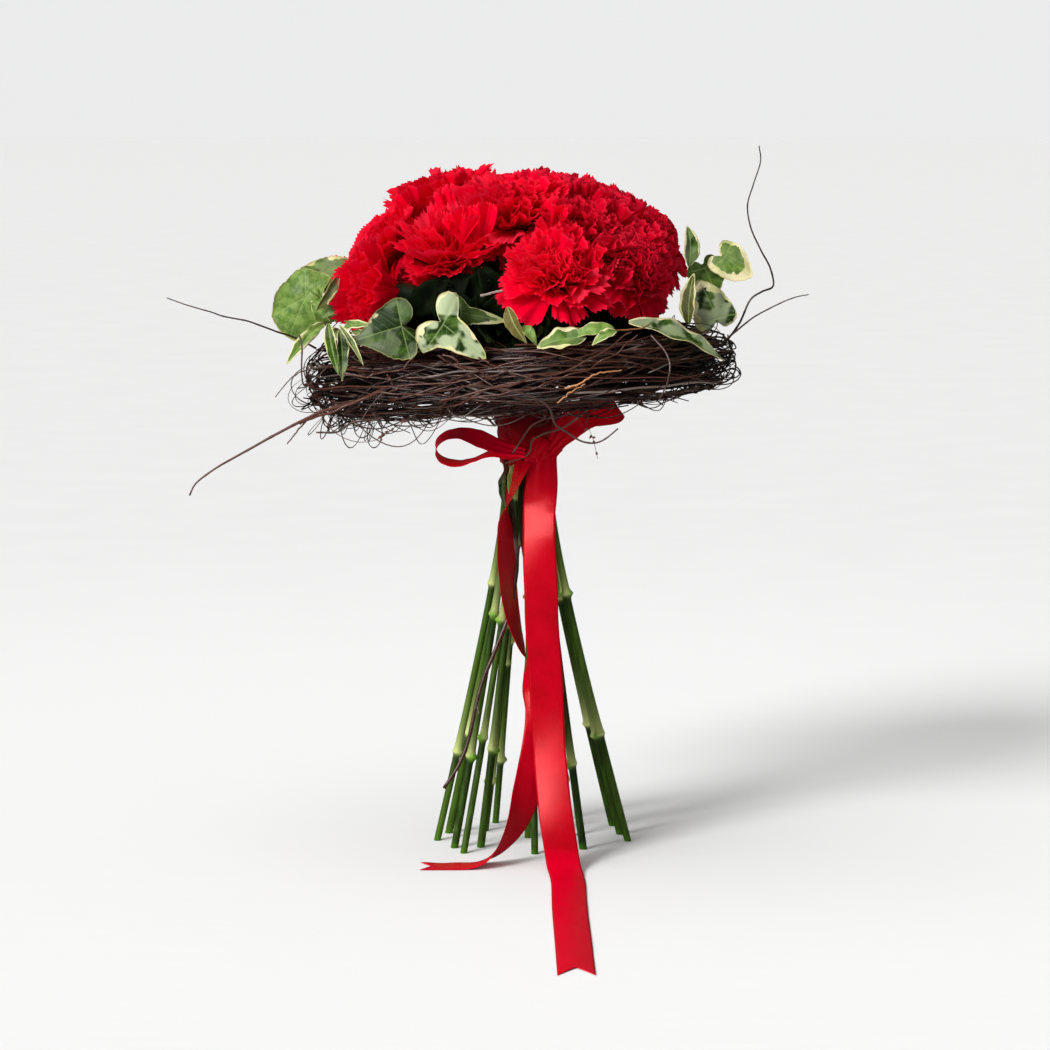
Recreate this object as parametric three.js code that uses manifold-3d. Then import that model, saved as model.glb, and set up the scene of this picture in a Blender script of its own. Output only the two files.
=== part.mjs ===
// Heart-shaped bouquet of carnations in a nest of twigs, tied with satin ribbon.
// Millimetres, +Z up. The origin is the cut foot of the middle stem, on the surface that
// the splayed stems stand on. -Y is the front, where the heart's cleft and the bow are.
import * as THREE from 'three';
import { mergeVertices } from 'three/addons/utils/BufferGeometryUtils.js';
import Module from 'manifold-3d';

const wasm = await Module();
wasm.setup();

// ---------------------------------------------------------------- driving dimensions
const GAP = 0.4; // clearance between pieces that lie against each other

const CARNATION_RED = '#c2081c';
const CALYX_GREEN = '#5d8f3a';
const STEM_GREEN = '#3c6a35';
const TWIG_BROWN = '#3a2622';
const IVY_GREEN = '#6f9a55';
const RIBBON_RED = '#c80a22';

const CALYX_RADIUS = 6.8;
const BLOOM_RADIUS = 37; // petals spread to about 74 mm across
const BLOOM_HEIGHT = 63; // from the base of the calyx to the crown
const BLOOM_CENTRE = 36; // height of the petal ball's centre above the calyx base

const STEM_RADIUS = 2.6;
const STEM_SIDES = 7;
const NECK_HEIGHT = 288; // where the binding draws the stems together
const NECK_OUTER_RING = 14.8; // stem axes in the outer ring of the neck
const NECK_INNER_RING = 7.2;
const NECK_SOFTNESS = 0.3; // how gently a stem bends as it leaves the binding
const LOWER_STEPS = 8;
const UPPER_STEPS = 7;

const NEST_CENTRE_X = -5;
const NEST_RADIUS = 132; // to the middle of the twig roll
const NEST_HEIGHT = 346; // height of the roll's middle at the nest's centre
const NEST_SLOPE = 0.056; // the right side sits higher than the left
const NEST_HALF_WIDTH = 24;
const NEST_HALF_HEIGHT = 23.5;
const NEST_THINNING = 0.02; // the roll is fatter on the left than on the right
const NEST_ARCS = 6;
const CLEFT_ANGLE = 250; // degrees from +X, direction of the heart's cleft
const CLEFT_DEPTH = 24;
const CLEFT_SPREAD = 26;
const POINT_ANGLE = 70; // direction of the heart's point
const POINT_REACH = 18;
const POINT_SPREAD = 30;

const RIBBON_WIDTH = 24;
const RIBBON_THICKNESS = 0.9;
const WRAP_THICKNESS = 0.8;
const WRAP_INSIDE = [[18.9, 272], [18.2, 288], [19, 300], [21.5, 312], [24.5, 320]]; // radius, height
const KNOT_CENTRE = [10, -29.5, 287];
const KNOT_HALF = [13, 7, 11.5];
const LEAF_THICKNESS = 0.8;

// ---------------------------------------------------------------- materials
const satinMaterial = new THREE.MeshStandardMaterial({ color: RIBBON_RED, roughness: 0.35, metalness: 0 });
const petalMaterial = new THREE.MeshStandardMaterial({ color: CARNATION_RED, roughness: 0.7, metalness: 0 });
const stemMaterial = new THREE.MeshStandardMaterial({ color: STEM_GREEN, roughness: 0.5, metalness: 0 });
const twigMaterial = new THREE.MeshStandardMaterial({ color: TWIG_BROWN, roughness: 0.8, metalness: 0 });
const ivyMaterial = new THREE.MeshStandardMaterial({ color: IVY_GREEN, roughness: 0.45, metalness: 0 });

const bouquet = new THREE.Group();
bouquet.name = 'heart_carnation_bouquet';

function vec(point) {
  return new THREE.Vector3(point[0], point[1], point[2]);
}

function radians(degrees) {
  return (degrees * Math.PI) / 180;
}

function welded(geometry) {
  const bare = geometry.clone();
  bare.deleteAttribute('normal');
  bare.deleteAttribute('uv');
  return mergeVertices(bare, 1e-4);
}

function addPiece(name, geometry, material) {
  const finished = welded(geometry);
  finished.computeVertexNormals();
  const mesh = new THREE.Mesh(finished, material);
  mesh.name = name;
  bouquet.add(mesh);
  return mesh;
}

// ---------------------------------------------------------------- solids that join and cut
function toSolid(geometry) {
  const closed = welded(geometry);
  const vertProperties = new Float32Array(closed.attributes.position.array);
  const triVerts = new Uint32Array(closed.index.array);
  return new wasm.Manifold(new wasm.Mesh({ numProp: 3, vertProperties, triVerts }));
}

function fromSolid(solid) {
  const mesh = solid.getMesh();
  const geometry = new THREE.BufferGeometry();
  geometry.setAttribute('position', new THREE.BufferAttribute(new Float32Array(mesh.vertProperties), 3));
  geometry.setIndex(new THREE.BufferAttribute(new Uint32Array(mesh.triVerts), 1));
  geometry.setAttribute('normal', new THREE.BufferAttribute(new Float32Array(mesh.vertProperties.length), 3));
  geometry.setAttribute('uv', new THREE.BufferAttribute(new Float32Array((mesh.vertProperties.length / 3) * 2), 2));
  return geometry;
}

// ---------------------------------------------------------------- rods and strips along a route
// A round rod: one ring of a cylinder at each point of the route. A rod that stands on the
// surface keeps its first ring level, so that its cut end lies flat.
function rod(points, startRadius, endRadius, sides, levelFoot = false) {
  const steps = points.length - 1;
  const geometry = new THREE.CylinderGeometry(endRadius, startRadius, 1, sides, steps);
  const position = geometry.attributes.position;
  const up = new THREE.Vector3(0, 1, 0);
  const turns = points.map((point, k) => {
    const before = points[Math.max(k - 1, 0)];
    const after = points[Math.min(k + 1, steps)];
    const direction = after.clone().sub(before).normalize();
    if (levelFoot && k === 0) {
      direction.set(0, 0, 1);
    }
    return new THREE.Quaternion().setFromUnitVectors(up, direction);
  });
  for (let i = 0; i < position.count; i += 1) {
    const ring = Math.round((position.getY(i) + 0.5) * steps);
    const corner = new THREE.Vector3(position.getX(i), 0, position.getZ(i));
    corner.applyQuaternion(turns[ring]).add(points[ring]);
    position.setXYZ(i, corner.x, corner.y, corner.z);
  }
  return geometry;
}

// A flat strip: each station gives the middle of the strip and the direction of its width.
// The strip never dips below the surface.
function strip(stations, width, thickness, steps, notch = 0) {
  const middle = new THREE.CatmullRomCurve3(stations.map((s) => vec(s.at)));
  const across = new THREE.CatmullRomCurve3(stations.map((s) => vec(s.side)));
  const geometry = new THREE.BoxGeometry(width, thickness, 1, 2, 1, steps);
  const position = geometry.attributes.position;
  for (let i = 0; i < position.count; i += 1) {
    const run = position.getZ(i) + 0.5;
    const tangent = middle.getTangent(run);
    const side = across.getPoint(run);
    side.addScaledVector(tangent, -side.dot(tangent)).normalize();
    const normal = tangent.clone().cross(side);
    const offset = position.getX(i);
    const point = middle.getPoint(run);
    point.z = Math.max(point.z, thickness / 2);
    point.addScaledVector(side, offset);
    point.addScaledVector(normal, position.getY(i));
    if (run > 0.999) {
      point.addScaledVector(tangent, notch * ((2 * Math.abs(offset)) / width - 1));
    }
    position.setXYZ(i, point.x, point.y, point.z);
  }
  return geometry;
}

// ---------------------------------------------------------------- carnations
// Each carnation: the centre of its petal ball, the way it faces (degrees round from +X and
// degrees down from upright), its place in the neck, and the foot of its stem. The list runs
// round the edge of the heart, then over the blooms inside the edge.
const carnations = [
  { centre: [88, 14, 438], facing: [5, 56], neck: ['outer', 16], foot: [68, 13] },
  { centre: [74, 66, 432], facing: [40, 56], neck: ['outer', 49], foot: [63, 45] },
  { centre: [26, 118, 422], facing: [72, 60], neck: ['outer', 82], foot: [20, 62] },
  { centre: [-34, 88, 431], facing: [108, 56], neck: ['outer', 114], foot: [-24, 56] },
  { centre: [-86, 54, 428], facing: [146, 55], neck: ['outer', 147], foot: [-58, 18] },
  { centre: [-98, -4, 432], facing: [178, 54], neck: ['outer', 180], foot: [-66, -9] },
  { centre: [-108, -57, 405], facing: [174, 82], neck: ['outer', 243], foot: [-46, -55] },
  { centre: [-55, -42, 425], facing: [228, 18], neck: ['outer', 213], foot: [-53, -36] },
  { centre: [20, -82, 417], facing: [284, 34], neck: ['outer', 278], foot: [5, -58] },
  { centre: [36, -40, 440], facing: [300, 24], neck: ['outer', 311], foot: [40, -41] },
  { centre: [74, -54, 418], facing: [325, 50], neck: ['outer', 344], foot: [73, -12] },
  { centre: [43, 6, 459], facing: [350, 26], neck: ['inner', 350], foot: [32, 6] },
  { centre: [36, 58, 456], facing: [52, 30], neck: ['inner', 62], foot: [14, 30] },
  { centre: [-16, 44, 463], facing: [95, 22], neck: ['inner', 134], foot: [-32, 26] },
  { centre: [-60, 24, 459], facing: [160, 28], neck: ['inner', 206], foot: [-34, -34] },
  { centre: [-9, -28, 453], facing: [262, 26], neck: ['inner', 278], foot: [0, 0] },
];

function facingAxis([around, down]) {
  const flat = Math.sin(radians(down));
  const x = flat * Math.cos(radians(around));
  const y = flat * Math.sin(radians(around));
  return new THREE.Vector3(x, y, Math.cos(radians(down)));
}

function calyxBase(carnation) {
  return vec(carnation.centre).addScaledVector(facingAxis(carnation.facing), -BLOOM_CENTRE);
}

function bloomGeometry(carnation) {
  const profile = [
    [0, 0],
    [CALYX_RADIUS * 0.8, 1],
    [CALYX_RADIUS, 6],
    [CALYX_RADIUS + 0.4, 21],
    [BLOOM_RADIUS * 0.8, 26],
    [BLOOM_RADIUS, 35],
    [BLOOM_RADIUS * 0.94, 44],
    [BLOOM_RADIUS * 0.66, 56],
    [0, BLOOM_HEIGHT],
  ];
  const geometry = new THREE.LatheGeometry(profile.map(([r, h]) => new THREE.Vector2(r, h)), 12);
  const up = new THREE.Vector3(0, 1, 0);
  const turn = new THREE.Quaternion().setFromUnitVectors(up, facingAxis(carnation.facing));
  geometry.applyQuaternion(turn);
  const base = calyxBase(carnation);
  geometry.translate(base.x, base.y, base.z);
  return geometry;
}

// Blooms packed side by side press each other flat: each is cut back on the plane half way
// to every neighbour that it would run into.
function pressedBloom(carnation) {
  const CUTTER = 300;
  let solid = toSolid(bloomGeometry(carnation));
  const here = vec(carnation.centre);
  for (const other of carnations) {
    const there = vec(other.centre);
    const distance = here.distanceTo(there);
    if (other === carnation || distance > 2.2 * BLOOM_RADIUS) {
      continue;
    }
    const towards = there.clone().sub(here).normalize();
    const cutter = new THREE.BoxGeometry(CUTTER, CUTTER, CUTTER);
    cutter.applyQuaternion(new THREE.Quaternion().setFromUnitVectors(new THREE.Vector3(1, 0, 0), towards));
    const reach = (distance - GAP) / 2 + CUTTER / 2;
    const middle = here.clone().addScaledVector(towards, reach);
    cutter.translate(middle.x, middle.y, middle.z);
    solid = solid.subtract(toSolid(cutter));
  }
  return fromSolid(solid);
}

function neckPoint([ring, degrees]) {
  const radius = ring === 'outer' ? NECK_OUTER_RING : NECK_INNER_RING;
  const x = radius * Math.cos(radians(degrees));
  const y = radius * Math.sin(radians(degrees));
  return new THREE.Vector3(x, y, NECK_HEIGHT);
}

// A stem runs straight up from its cut foot, bends through the binding and curves out to
// its bloom.
function stemRoute(carnation) {
  const neck = neckPoint(carnation.neck);
  const foot = new THREE.Vector3(carnation.foot[0], carnation.foot[1], 0);
  const bend = (t) => Math.hypot(NECK_SOFTNESS, t) - NECK_SOFTNESS;
  const points = [];
  for (let k = 0; k < LOWER_STEPS; k += 1) {
    const down = 1 - (k / LOWER_STEPS) ** 0.85;
    const spread = bend(down) / bend(1);
    const x = THREE.MathUtils.lerp(neck.x, foot.x, spread);
    const y = THREE.MathUtils.lerp(neck.y, foot.y, spread);
    points.push(new THREE.Vector3(x, y, NECK_HEIGHT * (1 - down)));
  }
  const axis = facingAxis(carnation.facing);
  const top = calyxBase(carnation).addScaledVector(axis, -GAP);
  const rise = top.z - NECK_HEIGHT;
  const leave = neck.clone().add(new THREE.Vector3(0, 0, 0.45 * rise));
  const arrive = top.clone().addScaledVector(axis, -0.4 * rise);
  const upper = new THREE.CubicBezierCurve3(neck, leave, arrive, top);
  return points.concat(upper.getPoints(UPPER_STEPS));
}

carnations.forEach((carnation, index) => {
  const number = String(index + 1).padStart(2, '0');
  addPiece(`carnation_bloom_${number}`, pressedBloom(carnation), petalMaterial);
  const stem = rod(stemRoute(carnation), STEM_RADIUS, STEM_RADIUS * 0.85, STEM_SIDES, true);
  addPiece(`carnation_stem_${number}`, stem, stemMaterial);
});

// ---------------------------------------------------------------- nest of twigs
function bump(angle, centre, spread) {
  const away = ((angle - centre + 540) % 360) - 180;
  return Math.exp(-((away / spread) ** 2));
}

function nestRadius(angle) {
  const dent = CLEFT_DEPTH * bump(angle, CLEFT_ANGLE, CLEFT_SPREAD);
  const point = POINT_REACH * bump(angle, POINT_ANGLE, POINT_SPREAD);
  return NEST_RADIUS - dent + point;
}

function nestPoint(angle) {
  const radius = nestRadius(angle);
  const x = radius * Math.cos(radians(angle));
  const y = radius * Math.sin(radians(angle));
  return new THREE.Vector3(x + NEST_CENTRE_X, y, NEST_HEIGHT + NEST_SLOPE * x);
}

// One arc of the roll: an oval rod bent along the heart.
function nestArc(fromAngle, toAngle) {
  const steps = 7;
  const geometry = new THREE.CylinderGeometry(1, 1, 1, 9, steps);
  const position = geometry.attributes.position;
  for (let i = 0; i < position.count; i += 1) {
    const angle = THREE.MathUtils.lerp(fromAngle, toAngle, position.getY(i) + 0.5);
    const middle = nestPoint(angle);
    const along = nestPoint(angle + 0.5).sub(nestPoint(angle - 0.5)).normalize();
    const outward = along.clone().cross(new THREE.Vector3(0, 0, 1)).normalize();
    const upward = outward.clone().cross(along);
    const halfHeight = NEST_HALF_HEIGHT - NEST_THINNING * middle.x;
    middle.addScaledVector(outward, position.getX(i) * NEST_HALF_WIDTH);
    middle.addScaledVector(upward, position.getZ(i) * halfHeight);
    position.setXYZ(i, middle.x, middle.y, middle.z);
  }
  return geometry;
}

const arcSpan = 360 / NEST_ARCS;
const arcGap = THREE.MathUtils.radToDeg(GAP / (NEST_RADIUS - NEST_HALF_WIDTH));
for (let k = 0; k < NEST_ARCS; k += 1) {
  const start = POINT_ANGLE + k * arcSpan;
  addPiece(`nest_arc_${k + 1}`, nestArc(start + arcGap, start + arcSpan - arcGap), twigMaterial);
}

// Tie twigs run from under the roll in to the top of the binding.
const tieTwigs = [
  [[13, -94, 324], [12, -62, 315], [14, -38, 309], [4, -25, 304]],
  [[-96, 26, 316], [-62, 14, 312], [-34, 4, 310], [-23.5, -4, 303]],
  [[84, 40, 328], [54, 28, 318], [31, 13, 313], [22, 10, 305]],
];
tieTwigs.forEach((route, index) => {
  const curve = new THREE.CatmullRomCurve3(route.map(vec));
  addPiece(`tie_twig_${index + 1}`, rod(curve.getPoints(8), 1.5, 1.1, 6), twigMaterial);
});

// ---------------------------------------------------------------- loose twigs
const looseTwigs = {
  loose_twig_left: {
    radii: [1.3, 0.7],
    route: [[-162, -50, 369], [-177, -54, 374], [-197, -58, 382], [-218, -60, 387], [-254, -64, 399]],
  },
  loose_twig_low_left: {
    radii: [1.7, 0.9],
    route: [[-118, -122, 331], [-143, -126, 324], [-167, -129, 312], [-193, -131, 298], [-233, -135, 267]],
  },
  loose_twig_tall: {
    radii: [1.2, 0.7],
    route: [
      [152, -8, 377], [160, -8, 394], [168, -8, 400], [176, -6, 404], [174, -4, 417], [167, -2, 430],
      [159, 0, 453], [162, 2, 477], [167, 4, 493], [166, 5, 504],
    ],
  },
  loose_twig_right: {
    radii: [1.2, 0.7],
    route: [[152, -30, 376], [163, -34, 385], [176, -38, 392], [199, -42, 400]],
  },
};
for (const [name, twig] of Object.entries(looseTwigs)) {
  const curve = new THREE.CatmullRomCurve3(twig.route.map(vec));
  const points = curve.getPoints(twig.route.length * 2);
  addPiece(name, rod(points, twig.radii[0], twig.radii[1], 6), twigMaterial);
}

// ---------------------------------------------------------------- ivy leaves
// Half of a five-lobed leaf, from the stalk to the tip: part of the length, part of the width.
const lobeOutline = [
  [0.02, 0], [-0.16, 0.24], [-0.08, 0.44], [0.14, 0.38], [0.4, 0.5], [0.52, 0.3], [0.72, 0.2], [1, 0],
];

// Each leaf: where the blade meets its stalk, its tip, the way its upper face looks, its
// width, and how far the sides droop from the midrib.
const ivyLeaves = [
  { name: 'left_large', base: [-160, -34, 410], tip: [-164, -34, 369], face: [-0.2, -1, 0.15], width: 40, droop: 4 },
  { name: 'left_upper', base: [-137, -12, 413], tip: [-163, -11, 421], face: [-0.2, -0.8, 0.8], width: 26, droop: 3 },
  { name: 'front_left', base: [-80, -123, 386], tip: [-124, -123, 374], face: [0, -0.9, 0.3], width: 40, droop: 5 },
  { name: 'front_middle', base: [-60, -131, 388], tip: [-28, -138, 361], face: [-0.1, -1, 0.3], width: 48, droop: 4 },
  { name: 'front_low', base: [53, -132, 376], tip: [6, -133, 373], face: [0, -0.6, 0.9], width: 26, droop: 3 },
  { name: 'front_long', base: [72, -105, 383], tip: [138, -84, 363], face: [0, -0.5, 1], width: 24, droop: 2 },
  { name: 'right_grey', base: [134, -40, 380], tip: [126, -40, 410], face: [0.3, -1, 0.1], width: 28, droop: 4 },
  { name: 'right_round', base: [133, -10, 424], tip: [161, -16, 415], face: [0.3, -0.7, 0.8], width: 28, droop: 4 },
  { name: 'right_dark', base: [124, 1, 415], tip: [138, -3, 397], face: [0.2, -1, 0.4], width: 24, droop: 3 },
];

function leafGeometry(leaf) {
  const shape = new THREE.Shape();
  shape.moveTo(lobeOutline[0][0], lobeOutline[0][1]);
  for (const [along, side] of lobeOutline.slice(1)) {
    shape.lineTo(along, side);
  }
  for (const [along, side] of lobeOutline.slice(1, -1).reverse()) {
    shape.lineTo(along, -side);
  }
  const geometry = new THREE.ExtrudeGeometry(shape, { depth: 1, bevelEnabled: false });
  const base = vec(leaf.base);
  const length = vec(leaf.tip).sub(base);
  const across = vec(leaf.face).cross(length).normalize();
  const face = length.clone().cross(across).normalize();
  const position = geometry.attributes.position;
  for (let i = 0; i < position.count; i += 1) {
    const side = position.getY(i);
    const point = base.clone().addScaledVector(length, position.getX(i));
    point.addScaledVector(across, side * leaf.width);
    point.addScaledVector(face, (position.getZ(i) - 1) * LEAF_THICKNESS - 4 * leaf.droop * side * side);
    position.setXYZ(i, point.x, point.y, point.z);
  }
  return geometry;
}

for (const leaf of ivyLeaves) {
  addPiece(`ivy_leaf_${leaf.name}`, leafGeometry(leaf), ivyMaterial);
}

// ---------------------------------------------------------------- satin ribbon
const wrapOutside = WRAP_INSIDE.map(([radius, height]) => [radius + WRAP_THICKNESS, height]);
const wrapProfile = [WRAP_INSIDE[0], ...wrapOutside, ...WRAP_INSIDE.slice().reverse()];
const wrap = new THREE.LatheGeometry(wrapProfile.map(([r, h]) => new THREE.Vector2(r, h)), 24);
wrap.rotateX(Math.PI / 2);
addPiece('ribbon_wrap', wrap, satinMaterial);

const knot = new THREE.SphereGeometry(1, 12, 8);
knot.scale(...KNOT_HALF);
knot.translate(...KNOT_CENTRE);
addPiece('ribbon_knot', knot, satinMaterial);

// The loops and tails: the middle of the ribbon, and the direction of its width.
const leftLoop = [
  { at: [-6, -38, 288.5], side: [0, 0.87, 0.49] },
  { at: [-19, -40, 291.5], side: [0, 0.86, 0.5] },
  { at: [-34, -41, 297], side: [0, 0.9, 0.44] },
  { at: [-48, -40, 301], side: [0, 0.97, 0.24] },
  { at: [-60, -37, 298], side: [0, 0.98, 0.2] },
  { at: [-66, -34, 290], side: [0, 0.98, 0.18] },
  { at: [-62, -33, 282], side: [0, 0.99, 0.12] },
  { at: [-50, -34, 279], side: [0, 1, 0.08] },
  { at: [-38, -35, 280], side: [0, 1, 0.06] },
  { at: [-26, -36, 282], side: [0, 1, 0.1] },
  { at: [-10, -37, 281], side: [0, 1, 0.2] },
];
const rightLoop = [
  { at: [27, -39, 303], side: [-0.4, 0.5, 0.76] },
  { at: [34, -39, 310], side: [-0.25, 0.5, 0.83] },
  { at: [43, -37, 315.5], side: [-0.12, 0.5, 0.86] },
  { at: [52, -33, 317], side: [-0.12, 0.5, 0.86] },
  { at: [60, -26, 318], side: [-0.2, 0.5, 0.84] },
  { at: [62, -17, 322], side: [-0.3, 0.5, 0.8] },
  { at: [55, -11, 324], side: [-0.2, 0.6, 0.78] },
  { at: [43, -14, 315], side: [-0.1, 0.75, 0.66] },
  { at: [33, -22, 303], side: [-0.2, 0.7, 0.68] },
];
const longTail = [
  { at: [10, -38, 273.5], side: [1, 0.05, 0] },
  { at: [9, -43.5, 257], side: [1, 0, 0] },
  { at: [8, -47, 246], side: [1, -0.3, 0.1] },
  { at: [8, -51, 234.5], side: [1, -0.3, 0.1] },
  { at: [8, -54.5, 221], side: [1, -0.25, 0] },
  { at: [9, -57.5, 198], side: [1, -0.1, 0] },
  { at: [10, -59.5, 167], side: [1, 0.08, 0] },
  { at: [13, -63, 125], side: [1, 0.05, 0] },
  { at: [15, -71, 82], side: [1, -0.28, 0] },
  { at: [19, -86, 40], side: [1, -0.2, 0] },
  { at: [23, -101, 15], side: [1, 0, 0] },
  { at: [25, -116, 4.5], side: [1, 0, 0] },
  { at: [27, -135, 0.9], side: [1, 0, 0] },
  { at: [28, -165, 0.45], side: [1, 0, 0] },
  { at: [28, -240, 0.45], side: [1, 0, 0] },
  { at: [29, -330, 0.45], side: [1, 0, 0] },
  { at: [30, -428, 0.45], side: [1, 0, 0] },
];
const shortTail = [
  { at: [-7, -35, 273], side: [-0.57, 0.82, 0] },
  { at: [-13, -38, 255], side: [-0.2, 0.98, 0] },
  { at: [-16, -40, 238], side: [0.4, 0.9, 0] },
  { at: [-15, -42, 215], side: [0.52, 0.85, 0] },
  { at: [-13, -42, 194], side: [0.4, 0.9, 0] },
  { at: [-6, -42, 170], side: [0.1, 1, 0] },
  { at: [5, -49, 138], side: [-0.85, 0.5, 0] },
  { at: [10, -56, 106], side: [-0.95, 0.2, 0] },
  { at: [7, -66, 76], side: [-0.97, -0.2, 0] },
  { at: [-1, -78, 48], side: [-0.8, -0.6, 0] },
  { at: [-9, -89, 27], side: [-0.6, -0.8, 0] },
  { at: [-22, -98, 10], side: [-0.35, -0.93, 0.05] },
  { at: [-36, -102, 2], side: [-0.05, -1, 0] },
  { at: [-56, -103, 0.45], side: [0, -1, 0] },
  { at: [-76, -103, 0.45], side: [0, -1, 0] },
];
const ribbonStrips = {
  ribbon_loop_left: { stations: leftLoop, steps: 20, notch: 0 },
  ribbon_loop_right: { stations: rightLoop, steps: 16, notch: 0 },
  ribbon_tail_long: { stations: longTail, steps: 26, notch: 20 },
  ribbon_tail_short: { stations: shortTail, steps: 30, notch: 8 },
};
for (const [name, ribbon] of Object.entries(ribbonStrips)) {
  const geometry = strip(ribbon.stations, RIBBON_WIDTH, RIBBON_THICKNESS, ribbon.steps, ribbon.notch);
  addPiece(name, geometry, satinMaterial);
}

export default bouquet;
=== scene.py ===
import bpy
import math
import numpy as np
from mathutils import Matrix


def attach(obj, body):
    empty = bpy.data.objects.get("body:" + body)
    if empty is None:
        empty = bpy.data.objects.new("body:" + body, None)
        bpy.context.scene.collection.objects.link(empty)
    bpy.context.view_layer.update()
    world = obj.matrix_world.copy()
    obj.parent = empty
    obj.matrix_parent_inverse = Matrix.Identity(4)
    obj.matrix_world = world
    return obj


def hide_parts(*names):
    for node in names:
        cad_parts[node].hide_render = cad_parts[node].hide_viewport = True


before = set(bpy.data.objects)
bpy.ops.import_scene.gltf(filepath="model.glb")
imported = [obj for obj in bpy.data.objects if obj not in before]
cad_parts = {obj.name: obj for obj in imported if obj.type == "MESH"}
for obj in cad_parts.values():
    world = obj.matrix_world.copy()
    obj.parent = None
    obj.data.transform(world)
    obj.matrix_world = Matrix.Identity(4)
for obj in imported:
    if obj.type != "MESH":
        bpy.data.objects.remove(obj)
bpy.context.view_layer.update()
MM = 0.001


# ---------------------------------------------------------------- camera, room and light
# The bouquet stands on a pale painted surface in a bright, plain studio. The key light comes
# from the upper left, a broad low one from the same side fills in, and the broadest comes
# from overhead. The air all round is nearly white.
CAMERA_PLACE = (-0.002, -2.730, 0.556)
CAMERA_PITCH = 6.8
LENS_MM = 130.0
SENSOR_MM = 36.0
FLOOR_SIZE = 60.0
FLOOR_DROP = 0.2 * MM
# The floor is painted paler close to the bouquet: a painted pool of light.
FLOOR_LIGHT_POOL = (2.2, 0.3)  # the floor grows paler from this far from the bouquet to this near
SEEN_AIR = (0.833, 0.833, 0.836, 1)
FELT_AIR = (1.0, 0.995, 0.985, 1)
FELT_STRENGTH = 0.31
MIRRORED_STRENGTH = 0.04

scene = bpy.context.scene
scene.view_settings.view_transform = "Standard"
lens = bpy.data.cameras.new("camera")
lens.lens = LENS_MM
lens.sensor_width = SENSOR_MM
lens.clip_end = 200.0
camera = bpy.data.objects.new("camera", lens)
scene.collection.objects.link(camera)
camera.location = CAMERA_PLACE
camera.rotation_euler = (math.radians(90 - CAMERA_PITCH), 0, 0)
scene.camera = camera


def tint(red, green, blue):
    """A colour in display values from 0 to 255, as the linear colour that shaders take."""
    out = []
    for value in (red, green, blue):
        c = value / 255.0
        out.append(c / 12.92 if c <= 0.04045 else ((c + 0.055) / 1.055) ** 2.4)
    return (*out, 1.0)


class Finish:
    """A material under construction, with short calls for the nodes the finishes share."""

    def __init__(self, name, roughness, specular, **inputs):
        self.material = bpy.data.materials.new(name)
        self.material.use_nodes = True
        self.tree = self.material.node_tree
        self.surface = self.tree.nodes["Principled BSDF"]
        self.feed(self.surface, {"Roughness": roughness, "Specular IOR Level": specular, **inputs})

    def feed(self, made, inputs):
        """Sets or links a node's inputs, which go by name or by number."""
        for key, value in inputs.items():
            socket = made.inputs[key.replace("_", " ") if isinstance(key, str) else key]
            if isinstance(value, bpy.types.NodeSocket):
                self.tree.links.new(value, socket)
            else:
                socket.default_value = value
        return made

    def node(self, kind, **inputs):
        return self.feed(self.tree.nodes.new(kind), inputs)

    def noise(self, scale, detail=3.0, stretch=(1, 1, 1), rough=0.5):
        where = self.node("ShaderNodeTexCoord").outputs["Object"]
        place = self.node("ShaderNodeMapping", Vector=where, Scale=stretch).outputs["Vector"]
        made = self.node("ShaderNodeTexNoise", Vector=place, Scale=scale, Detail=detail, Roughness=rough)
        return made.outputs["Fac"]

    def attribute(self, name):
        made = self.node("ShaderNodeAttribute")
        made.attribute_name = name
        return made.outputs["Fac"]

    def math(self, way, first, second=0.0, clamp=False):
        made = self.node("ShaderNodeMath")
        made.operation = way
        made.use_clamp = clamp
        return self.feed(made, {0: first, 1: second}).outputs[0]

    def part(self, value, share):
        return self.math("MULTIPLY", value, share)

    def ramp(self, value, low, high):
        """0 at low, 1 at high, and a smooth step between."""
        made = self.node("ShaderNodeMapRange", Value=value, From_Min=low, From_Max=high)
        made.interpolation_type = "SMOOTHSTEP"
        return made.outputs["Result"]

    def coats(self, colour, *coats):
        """Lays coats of (cover, colour) over a colour, one after another."""
        for cover, coat in coats:
            made = self.node("ShaderNodeMix")
            made.data_type = "RGBA"
            colour = self.feed(made, {0: cover, 6: colour, 7: coat}).outputs[2]
        return colour

    def colour(self, value):
        self.feed(self.surface, {"Base Color": value})

    def relief(self, height, strength, distance):
        made = self.node("ShaderNodeBump", Height=height, Strength=strength, Distance=distance)
        self.feed(self.surface, {"Normal": made.outputs["Normal"]})


bpy.ops.mesh.primitive_plane_add(size=FLOOR_SIZE, location=(0, 0, -FLOOR_DROP))
floor = bpy.context.object
floor.name = "floor"
paint = Finish("pale_floor_paint", 0.6, 0.2)
place = paint.node("ShaderNodeNewGeometry").outputs["Position"]
distance = paint.node("ShaderNodeVectorMath", Vector=place)
distance.operation = "LENGTH"
# The floor's paint, with a painted pool of light round the bouquet.
paint.colour(paint.coats(
    tint(236, 236, 236),
    (paint.noise(9.0, 4.0), tint(242, 242, 242)),
    (paint.ramp(distance.outputs["Value"], *FLOOR_LIGHT_POOL), tint(247, 247, 247)),
))
paint.relief(paint.noise(14.0, 5.0, (1, 3, 1)), 0.12, 0.004)
floor.data.materials.append(paint.material)
floor.visible_glossy = False

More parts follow.
